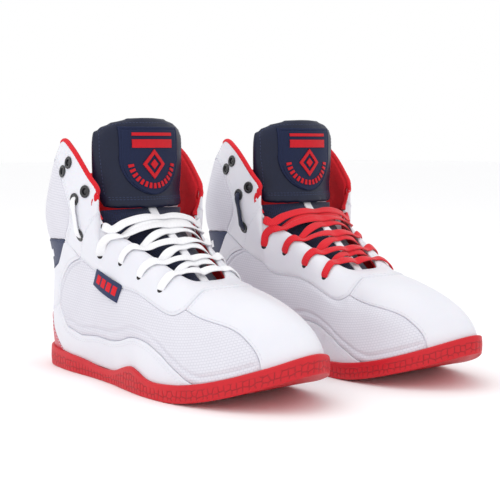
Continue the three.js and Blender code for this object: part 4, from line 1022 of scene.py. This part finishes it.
def on_pad(x, z, off=0.0):
    """Points on the pad's front at x across and height z, and the leather's outward direction there."""
    hits, outs = [], []
    for a, b in zip(np.ravel(x), np.ravel(z)):
        hit, normal, _, _ = pad_skin.ray_cast(Vector((a, 200, b)), Vector((0, -1, 0)))
        hits.append(hit if hit else (a, 100, b))
        outs.append(normal if hit else (0, 0, 0))
    hits, outs = np.array(hits, float), np.array(outs, float)
    shape = np.shape(x)
    return (hits + outs * np.broadcast_to(off, shape).reshape(-1, 1)).reshape(*shape,
            3), outs.reshape(*shape, 3)


FOLD = {}
for foot in FEET:
    low, high = place([[0, 109, 123.6], [0, 109, 131.5]], foot)
    FOLD[foot] = (f"{foot}_boot", f"{foot}_tongue", tuple(map(float, low)), tuple(map(float, high)))
    made = solid(f"{foot}_tongue_pad", foot, pad_points, pad_faces, navy_nappa, sharp=0)
    settle(made, "navy_leather", FOLD[foot], f"{foot}_tongue_top")

# ---- Tongue badge --------------------------------------------------------------------------------
# A moulded navy rubber shield sewn to the pad, flat topped and round below, with a recessed line inside
# its edge and a raised red motif: two bars, a lozenge ring and a half ring of ticks. No lettering.
BADGE_TOP, BADGE_HALF, BADGE_LOW = 182.6, 26.5, 133.5


# injection-moulded silicone rubber: matt navy with a fine linen emboss, threads drawn 1 mm apart
navy_rubber, tree, shader = finish("moulded_navy_badge_rubber", Specular_IOR_Level=0.3, Roughness=0.6,
                                   IOR=1.43)
spot = add(tree, "ShaderNodeTexCoord")
linen_a = add(tree, "ShaderNodeTexWave", {"Vector": spot.outputs["Object"], "Scale": 330.0},
              bands_direction="X")
linen_b = add(tree, "ShaderNodeTexWave", {"Vector": spot.outputs["Object"], "Scale": 330.0},
              bands_direction="Z")
linen = add(tree, "ShaderNodeMath", {0: linen_a.outputs["Fac"], 1: linen_b.outputs["Fac"]}, operation="ADD")
two_tone(tree, shader, linen_a.outputs["Fac"], "#101936", "#172244")
bump = add(tree, "ShaderNodeBump", {"Strength": 0.3, "Distance": 0.00012, "Height": linen.outputs[0]})
wire(tree, bump.outputs[0], shader, "Normal")
# the same rubber in red for the raised motif, with a soft mottle
red_motif, tree, shader = finish("moulded_red_badge_rubber", Specular_IOR_Level=0.3, Roughness=0.48, IOR=1.43)
spot = add(tree, "ShaderNodeTexCoord")
blotch = add(tree, "ShaderNodeTexNoise", {"Vector": spot.outputs["Object"], "Scale": 300.0, "Detail": 3.0})
two_tone(tree, shader, blotch.outputs["Fac"], "#CC1022", "#B40C1B")
bump = add(tree, "ShaderNodeBump", {"Strength": 0.2, "Distance": 0.0001, "Height": blotch.outputs["Fac"]})
wire(tree, bump.outputs[0], shader, "Normal")


def on_badge(x, z, rise, sink=.6):
    """A raised plate on the pad over a grid of (x, z), its front rise above the leather."""
    front, outs = on_pad(x, z, rise)
    back, _ = on_pad(x, z, -sink)
    verts, faces = shell(front, back)
    flat = np.stack([x, z], -1).reshape(-1, 2)
    return verts, faces, np.tile(flat, (2, 1))


def badge_half(z):
    k = np.clip((z - BADGE_LOW) / (BADGE_TOP - BADGE_LOW), 0, 1)
    return BADGE_HALF * np.where(k < .56,
                                 np.sqrt(np.clip(1 - (1 - k / .56) ** 2, 0, 1)) * (.965 + .035 * k / .56),
                                 .965 + .035 * k)


t = (0.5 - 0.5 * np.cos(np.linspace(0, math.pi, 61)))
z = BADGE_LOW + (BADGE_TOP - BADGE_LOW) * t
s = np.sin(np.linspace(-1, 1, 61) * math.pi / 2)
X, Z = np.outer(s, badge_half(z)), np.tile(z, (61, 1))
gap = np.minimum(np.minimum(badge_half(Z) - np.abs(X), BADGE_TOP - Z), (Z - BADGE_LOW) * 3)
lip = 1.25 - .8 * (1 - np.sqrt(1 - (1 - np.clip(gap / .8, 0, 1)) ** 2))
shield = on_badge(X, Z, lip - .55 * np.exp(-((gap - 2.0) / .38) ** 2))


def bar_grid(x0, x1, z0, z1, n=12, m=4):
    return np.meshgrid(np.linspace(x0, x1, n), np.linspace(z0, z1, m), indexing="ij")


def arc_grid(radius, thick, a0, a1, middle=158.4, n=6, m=4):
    a, q = np.meshgrid(np.linspace(a0, a1, n), np.linspace(radius - thick / 2, radius + thick / 2, m),
                       indexing="ij")
    return q * np.cos(a), middle + q * np.sin(a)


def lozenge(radius, thick, z):
    parts = []
    corner = [(radius, 0), (0, radius * 1.12), (-radius, 0), (0, -radius * 1.12)]
    for a, b in zip(corner, corner[1:] + corner[:1]):
        k, q = np.meshgrid(np.linspace(0, 1, 8), [1 - thick / radius, 1 - thick / radius / 2, 1],
                           indexing="ij")
        parts.append(on_badge((a[0] * (1 - k) + b[0] * k) * q, z + (a[1] * (1 - k) + b[1] * k) * q, 2.0, -.3))
    return parts


motif = [on_badge(*bar_grid(-17.5, 17.5, 176.0, 178.2), 1.9, -.3),
         on_badge(*bar_grid(-17.5, 17.5, 167.4, 173.4), 2.0, -.3)]
motif += lozenge(9.6, 3.2, 155.6) + lozenge(3.2, 3.1, 155.6)
motif += [on_badge(*arc_grid(18.6, 4.0, a, a + .11), 1.9, -.3) for a in np.linspace(math.radians(188),
        math.radians(345), 15)]
for foot in FEET:
    for name, part, paint, slot in (("tongue_badge", shield, navy_rubber, "navy_leather"),
                                    ("tongue_badge_motif", gathered(motif), red_motif, "red_rubber")):
        settle(solid(f"{foot}_{name}", foot, part[0], part[1], paint, part[2], 40), slot, FOLD[foot])

# ---- Laces ---------------------------------------------------------------------------------------
# Flat woven polyester lace, 6 mm wide, in straight bars: each bar lies over both edges of the lacing
# panel and drops into a punched hole, and one run between each two bars crosses below them, coming up
# from under one edge and going back under the other. The right boot is laced in white and the left in
# red, and a short run at each ankle wing passes between its two lower eyelets.
LACE_WIDTH, LACE_THICK = 6.2, 1.5
LACE_HOLES = [[.485, .9], [.442, .656], [.554, .688], [.629, .638], [.708, .631]]
LACE_EDGES = [.52, .575, .65, .725, .79]


def lace_yarn(name, light, dark):
    """Tubular flat-woven lace: herringbone of 1.1 mm picks along its length, dry, with a little sheen."""
    mat, tree, shader = finish(name, Roughness=0.8, IOR=1.48, Sheen_Weight=0.25, Sheen_Roughness=0.4)
    flat = add(tree, "ShaderNodeUVMap", uv_map="surface")
    lean = add(tree, "ShaderNodeSeparateXYZ", {0: flat.outputs[0]})
    fold = add(tree, "ShaderNodeMath", {0: lean.outputs[1], 1: 0.0}, operation="ABSOLUTE")
    slope = add(tree, "ShaderNodeMath", {0: fold.outputs[0], 1: 0.8, 2: lean.outputs[0]},
                operation="MULTIPLY_ADD")
    turns = add(tree, "ShaderNodeMath", {0: slope.outputs[0], 1: 2 * math.pi / 0.0013}, operation="MULTIPLY")
    picks = add(tree, "ShaderNodeMath", {0: turns.outputs[0]}, operation="SINE")
    pick = add(tree, "ShaderNodeMapRange", {"Value": picks.outputs[0], "From Min": -1.0, "From Max": 1.0})
    two_tone(tree, shader, pick.outputs[0], dark, light)
    bump = add(tree, "ShaderNodeBump", {"Strength": 0.5, "Distance": 0.0002, "Height": pick.outputs[0]})
    wire(tree, bump.outputs[0], shader, "Normal")
    return mat


white_lace = lace_yarn("white_flat_woven_lace", "#F7F7F8", "#E6E6EB")
red_lace = lace_yarn("red_flat_woven_lace", "#E8192B", "#C70F20")
navy_lace = lace_yarn("navy_flat_woven_lace", "#1B2342", "#10162C")
LIFT = 2.4                        # leather to the middle of a lace lying on it
NEAR_UP = unit(np.array([0, .62, .78]))


def ridge(e, lift):
    """Where a lace leaving the edge at this girth crosses the ridge of the tongue."""
    q = np.linspace(0, 1, 201)
    c = tongue_point(q, np.zeros(201))
    n = tongue_point(q, np.zeros(201), 1.0) - c
    d = c - last_point(np.array(e), np.array(1.0))
    best = np.argmin(np.abs(d[:, 1] * n[:, 2] - d[:, 2] * n[:, 1]))
    return tongue_point(q[best], np.array(0.0), lift)


def span_point(i, k):
    """Bar i between the two edges: k is 0 at the outer side and 1 at the inner side."""
    e = LACE_EDGES[i]
    edge, top = on_last(np.array(e), np.array(1.0), LIFT), ridge(e, CLEAR + LACE_THICK * 1.5)
    j = 1 - abs(2 * k - 1)
    p = edge + (top - edge) * j + NEAR_UP * .42 * j * (1 - j) * abs(edge[0])
    n = unit(last_normal(np.array(e), np.array(1.0)) * (1 - j) + NEAR_UP * j)
    s = np.array([-1 if k > .5 else 1, 1, 1])
    return np.concatenate([p * s, n * s])


def bar_path(i):
    (g, h), e = LACE_HOLES[i], LACE_EDGES[i]
    def side_points(s):
        rows = []
        for k, off in ((-.08, -1.8), (-.055, -.2), (-.01, 1.3), (.09, 2.1), (.25, LIFT), (.55, LIFT)):
            a, b = g + (e - g) * k, h + (1 - h) * k
            rows.append(np.concatenate([on_last(np.array(a * s), np.array(b), off),
                                        last_normal(np.array(a * s), np.array(b))]))
        return rows
    return smooth_path([*side_points(1), *[span_point(i, k) for k in np.linspace(0, 1, 9)],
                        *side_points(-1)[::-1]], 1.1)


def diagonal_path(i, hand):
    rows = []
    for run in (.0, .07, .16, .28, .4, .5, .62, .74, .84, .93, 1.0):
        at = run if hand > 0 else 1 - run
        lower, upper = span_point(i + 1, at), span_point(i, at)
        share = .2 + .56 * math.sin(min(run / .6, 1) * math.pi / 2) - .12 * max(run - .6, 0) / .4
        row = lower + (upper - lower) * share
        row[3:] = unit(row[3:])
        tuck = max(0, 1 - min(run, 1 - run) / .2) ** 1.5 * 5.2
        row[:3] += row[3:] * (-LACE_THICK * .95 - tuck)
        rows.append(row)
    return smooth_path(rows, 1.1)


def lace_run(path, seed, taper=True, width=LACE_WIDTH, thick=LACE_THICK):
    """A length of lace on its path, with the small rolls and pinches of a lace pulled tight by hand."""
    n = len(path)
    s = np.linspace(0, 1, n)
    wave = .07 * np.sin(s * 9 + seed * 2.1) + .04 * np.sin(s * 23 + seed)
    pinch = np.clip(np.minimum(s, 1 - s) * n * 1.1 / 5, 0, 1) if taper else 1
    tilt = unit(path[:, 3:] + np.gradient(path[:, :3], axis=0) * .02 + wave[:, None] * np.array([0, .9, -.4]))
    return ribbon(path[:, :3], tilt, width * (.62 + .38 * pinch) * (1 + wave), thick * (1.15 - .15 * pinch),
                  14, 2.8)


for foot in FEET:
    hand, paint, slot, run_paint, run_slot = (1, white_lace, "white_lace", white_lace,
                                              "white_lace") if foot == "right" else (
        -1, red_lace, "red_lace", navy_lace, "navy_lace")
    runs = [lace_run(bar_path(i), i) for i in range(5)] + [lace_run(diagonal_path(i, hand), 7 + i,
            False) for i in range(4)]
    verts, faces, flat = gathered(runs)
    settle(solid(f"{foot}_woven_lace", foot, verts, faces, paint, flat, 60), slot, f"{foot}_boot",
           f"{foot}_lace")
    for word, side in (("outer", 1), ("inner", -1)):
        rows = []
        for k, off in ((-.09, -1.5), (-.05, .8), (.06, 2.5), (.2, 2.6), (.5, 2.3), (.8, 2.6), (.94, 2.5),
                       (1.05, .8), (1.09, -1.5)):
            g, h = [a + (b - a) * k for a, b in zip(EYELETS["e"], EYELETS["d"])]
            rows.append(np.concatenate([on_last(np.array(g * side), np.array(h), off),
                                        last_normal(np.array(g * side), np.array(h))]))
        verts, faces, flat = lace_run(smooth_path(rows, .9), 3, True, 4.6, 1.5)
        settle(solid(f"{foot}_ankle_lace_run_{word}", foot, verts, faces, run_paint, flat, 60), run_slot,
               SWING[foot, word], f"{foot}_ankle_lace_{word}")

# ---- Lace holes ----------------------------------------------------------------------------------
# The holes punched through the lacing panel are drawn as painted shade: a near-black disc at each hole stands for the
# dark inside it and round its edge.
# painted shade for the inside of a punched hole: warm near-black, fully matt
hole_shade, tree, shader = finish("painted_lace_hole_shade", Roughness=0.95, IOR=1.4)
spot = add(tree, "ShaderNodeTexCoord")
fibre = add(tree, "ShaderNodeTexNoise", {"Vector": spot.outputs["Object"], "Scale": 1200.0, "Detail": 3.0})
two_tone(tree, shader, fibre.outputs["Fac"], "#1A1718", "#3A3434")
bump = add(tree, "ShaderNodeBump", {"Strength": 0.4, "Distance": 0.0002, "Height": fibre.outputs["Fac"]})
wire(tree, bump.outputs[0], shader, "Normal")


# painted shade: a near-black disc on each hole's seat, in place of the shade inside the hole
def painted_hole_shade_discs(tree, given):
    disc = add(tree, "GeometryNodeMeshCylinder",
               {"Vertices": 20, "Radius": scaled_mm(tree, given.outputs["Hole radius"]),
               "Depth": scaled_mm(tree, given.outputs["Depth"])})
    return put_on_seats(tree, given, disc.outputs[0], hole_shade)


for foot in FEET:
    g, h = np.array(LACE_HOLES).T
    e = np.array(LACE_EDGES)
    g, h = g - (e - g) * .05, h - (1 - h) * .05
    g, h = np.concatenate([g, -g]), np.tile(h, 2)
    holes = seats(f"{foot}_lace_hole_shade_discs", foot, on_last(g, h, np.full(10, .82)), last_normal(g, h),
                  np.tile([0, 0, 1.], (10, 1)))
    grown(holes, "painted_hole_shade_discs", {"Hole radius": 1.9, "Depth": .7}, painted_hole_shade_discs)
    settle(holes, "black_eyelet", f"{foot}_boot")

# ---- Side label ----------------------------------------------------------------------------------
# A folded woven tape caught in the lower seam of the lacing panel, on the outer side of the right boot
# only in this pair: navy, with a plain red block of four bars.
LABEL = [[.392, .548], [.545, .548], [.517, .470], [.371, .478]]
k, r = np.meshgrid(np.linspace(0, 1, 26), np.linspace(0, 1, 12), indexing="ij")
corner = [np.array(c) for c in LABEL]
at = lambda a, b: ((corner[0] * (1 - a)[..., None] + corner[1] * a[..., None]) * (1 - b)[..., None]
                   + (corner[3] * (1 - a)[..., None] + corner[2] * a[..., None]) * b[..., None])
grid = at(k, r)
tag_out = last_normal(*np.mean(LABEL, 0))


def on_tag(a, b, off):
    """The tag hangs nearly flat, bowed a little out over the padded side."""
    c = [on_last(*corner, lift) for corner, lift in zip(LABEL, (1.5, 1.5, 2.6, 2.6))]
    a, b = a[..., None], b[..., None]
    flat = (c[0] * (1 - a) + c[1] * a) * (1 - b) + (c[3] * (1 - a) + c[2] * a) * b
    return flat + tag_out * (1.5 * np.sin(a * math.pi) * (.6 + .4 * b) + off)


verts, faces = shell(on_tag(k, r, 0), on_tag(k, r, -.9))
settle(solid("right_side_label", "right", verts, faces, heel_tape,
             np.tile(surface_mm(grid).reshape(-1, 2), (2, 1)), 40), "navy_band", "right_boot")
# woven damask in the lining's red
marks = []
for a in (.12, .33, .54, .75):
    kk, rr = np.meshgrid(np.linspace(a, a + .15, 5), np.linspace(.22, .72, 5), indexing="ij")
    marks.append((*shell(on_tag(kk, rr, .22), on_tag(kk, rr, -.3)),
                  np.tile(surface_mm(at(kk, rr)).reshape(-1, 2), (2, 1))))
verts, faces, flat = gathered(marks)
settle(solid("right_side_label_blocks", "right", verts, faces, red_tricot, flat, 40), "red_lining",
       "right_boot")

# ---- Seam stitching ------------------------------------------------------------------------------
# Lockstitch in bonded thread beside every lapped edge: about 3 mm a stitch, each a small raised grain
# that sits down into the leather. The thread is drawn 0.6 mm wide, a little heavier than life.
STITCH_LONG, STITCH_WIDE, STITCH_PITCH = 2.3, .6, 3.1


def bonded_thread(name, light, dark):
    """Bonded polyester thread: smooth, slightly waxy, twisted at about 0.5 mm."""
    mat, tree, shader = finish(name, Roughness=0.55, IOR=1.5)
    spot = add(tree, "ShaderNodeTexCoord")
    twist = add(tree, "ShaderNodeTexNoise", {"Vector": spot.outputs["Object"], "Scale": 1900.0})
    two_tone(tree, shader, twist.outputs["Fac"], light, dark)
    return mat


white_thread = bonded_thread("bonded_white_thread", "#E2E2EA", "#CDCDD6")
navy_thread = bonded_thread("bonded_navy_thread", "#2E3A60", "#1E2746")


def stitches(thread):
    def build(tree, given):
        grain = add(tree, "GeometryNodeMeshUVSphere", {"Segments": 6, "Rings": 4, "Radius": 0.0005})
        size = add(tree, "ShaderNodeCombineXYZ",
                   {0: given.outputs["Length"], 1: given.outputs["Width"], 2: given.outputs["Height"]})
        shape = add(tree, "GeometryNodeTransform", {"Geometry": grain.outputs[0], "Scale": size.outputs[0]})
        return put_on_seats(tree, given, shape.outputs[0], thread)
    return build


def beside(path, mm):
    """The path moved sideways over the last by mm: plus is to the left of its direction seen from outside."""
    g, h = path[:, 0], np.clip(path[:, 1], .004, .995)
    dg = (last_point(g + .002, h) - last_point(g - .002, h)) / .004
    dh = (last_point(g, h + .003) - last_point(g, h - .003)) / .006
    run = np.gradient(last_point(g, h), axis=0)
    step = unit(np.cross(last_normal(g, h), run)) * mm
    a, b, c = (dg * dg).sum(1), (dg * dh).sum(1), (dh * dh).sum(1)
    x, y = (dg * step).sum(1), (dh * step).sum(1)
    det = np.maximum(a * c - b * b, 1.0)
    return np.stack([g + np.clip((c * x - b * y) / det, -.03, .03),
                     h + np.clip((a * y - b * x) / det, -.09, .09)], 1)


def stitch_line(path, off, mm=0.0, side=1, trim=0.0):
    """Evenly spaced stitch places, out directions and lengthways directions along (girth, height) points."""
    fine = through(np.asarray(path, float))(np.linspace(0, 1,
                                                        400)) if len(path) > 2 else along(path)(np.linspace(0, 1, 400))
    if mm:
        fine = beside(fine[fine[:, 1] > .1], mm)
    fine = fine[fine[:, 1] > .035]
    fine = fine * np.array([side, 1])
    pts = on_last(fine[:, 0], fine[:, 1], np.full(len(fine), off))
    run = np.concatenate([[0], np.cumsum(np.linalg.norm(np.diff(pts, axis=0), axis=1))])
    at = np.arange(trim + STITCH_PITCH / 2, run[-1] - trim, STITCH_PITCH)
    pick = lambda v: np.stack([np.interp(at, run, v[:, i]) for i in range(v.shape[1])], 1)
    flat = pick(fine)
    return pick(pts), last_normal(flat[:, 0], flat[:, 1]), unit(pick(np.gradient(pts, axis=0)))


def sewn(name, foot, lines, thread, slot, body):
    points, outs, runs = (np.concatenate(v) for v in zip(*lines))
    made = seats(name, foot, points, outs, runs)
    grown(made, name + "_tree", {"Length": STITCH_LONG, "Width": STITCH_WIDE, "Height": .42},
          stitches(thread))
    return settle(made, slot, body)


for foot in FEET:
    body = f"{foot}_boot"
    lines = [stitch_line(CAP_ARC, .47, -2.2), stitch_line(CAP_ARC, 1.06, 2.0)]
    lines += [stitch_line(stay_high[4:-4:8], 1.05, -2.4)]
    lines += [stitch_line([[-.222, .05], [-.18, .15], [-.155, .215], [-.128, .285], [0, .286], [.128, .285],
                           [.155, .215], [.18, .15], [.222, .05]], .97, -1.2)]
    for side in (1, -1):
        lines += [stitch_line(FACING_LOW, 1.06, 1.9, side, 3), stitch_line(FACING_SEAM, 1.05, -1.9, side, 2)]
        lines += [stitch_line(GROOVE, .7, -3.0, side, 2), stitch_line(GROOVE, .7, -4.7, side, 2),
                  stitch_line(GROOVE_REAR, .77, 2.8, side, 2)]
        lines += [stitch_line(CAP_SEAM, .46, -1.9, side, 2)]
    sewn(f"{foot}_upper_stitching", foot, lines, white_thread, "white_leather", body)
    sewn(f"{foot}_band_stitching", foot, [stitch_line(band_low, .5, 1.3), stitch_line(band_top, .5, -1.3)],
         navy_thread, "navy_band", body)
    for word, side in (("outer", 1), ("inner", -1)):
        lines = [stitch_line(WING_SEAM, .55, -2.4, side, 2), stitch_line(WING_SEAM, .55, -4.2, side, 2),
                 stitch_line(wing_front, .55, 2.6, side, 2)]
        lines += [stitch_line([[.19, .972], [.3, .972], [.455, .972]], .55, 0, side)]
        sewn(f"{foot}_wing_stitching_{word}", foot, lines, white_thread, "white_leather", SWING[foot, word])
    # round the pad, 4 mm in from its edge, and twice along the bottom seam
    rim_x = np.concatenate([np.full(100, -1.), np.linspace(-1, 1, 150), np.full(100, 1.)])
    rim_z = np.concatenate([np.linspace(133, 176, 100),
                            176 + 9.5 * np.sqrt(1 - np.linspace(-1, 1, 150) ** 4),
                            np.linspace(176, 133, 100)])
    rim_x = rim_x * (34.5 + 3.2 * np.clip((rim_z - 133) / 30, 0, 1))
    tracks = [(rim_x, rim_z), (np.linspace(-34, 34, 200), np.full(200, 130.2)),
              (np.linspace(-34, 34, 200), np.full(200, 131.9))]
    sets = []
    for x, z in tracks:
        p, n = on_pad(x, z, .02)
        p, n = p[n[:, 1] > .25], n[n[:, 1] > .25]
        run = np.concatenate([[0], np.cumsum(np.linalg.norm(np.diff(p, axis=0), axis=1))])
        at = np.arange(1.5, run[-1], STITCH_PITCH * .85)
        pick = lambda v: np.stack([np.interp(at, run, v[:, i]) for i in range(3)], 1)
        sets.append((pick(p), unit(pick(n)), unit(pick(np.gradient(p, axis=0)))))
    sewn(f"{foot}_tongue_pad_stitching", foot, sets, navy_thread, "navy_leather", FOLD[foot])
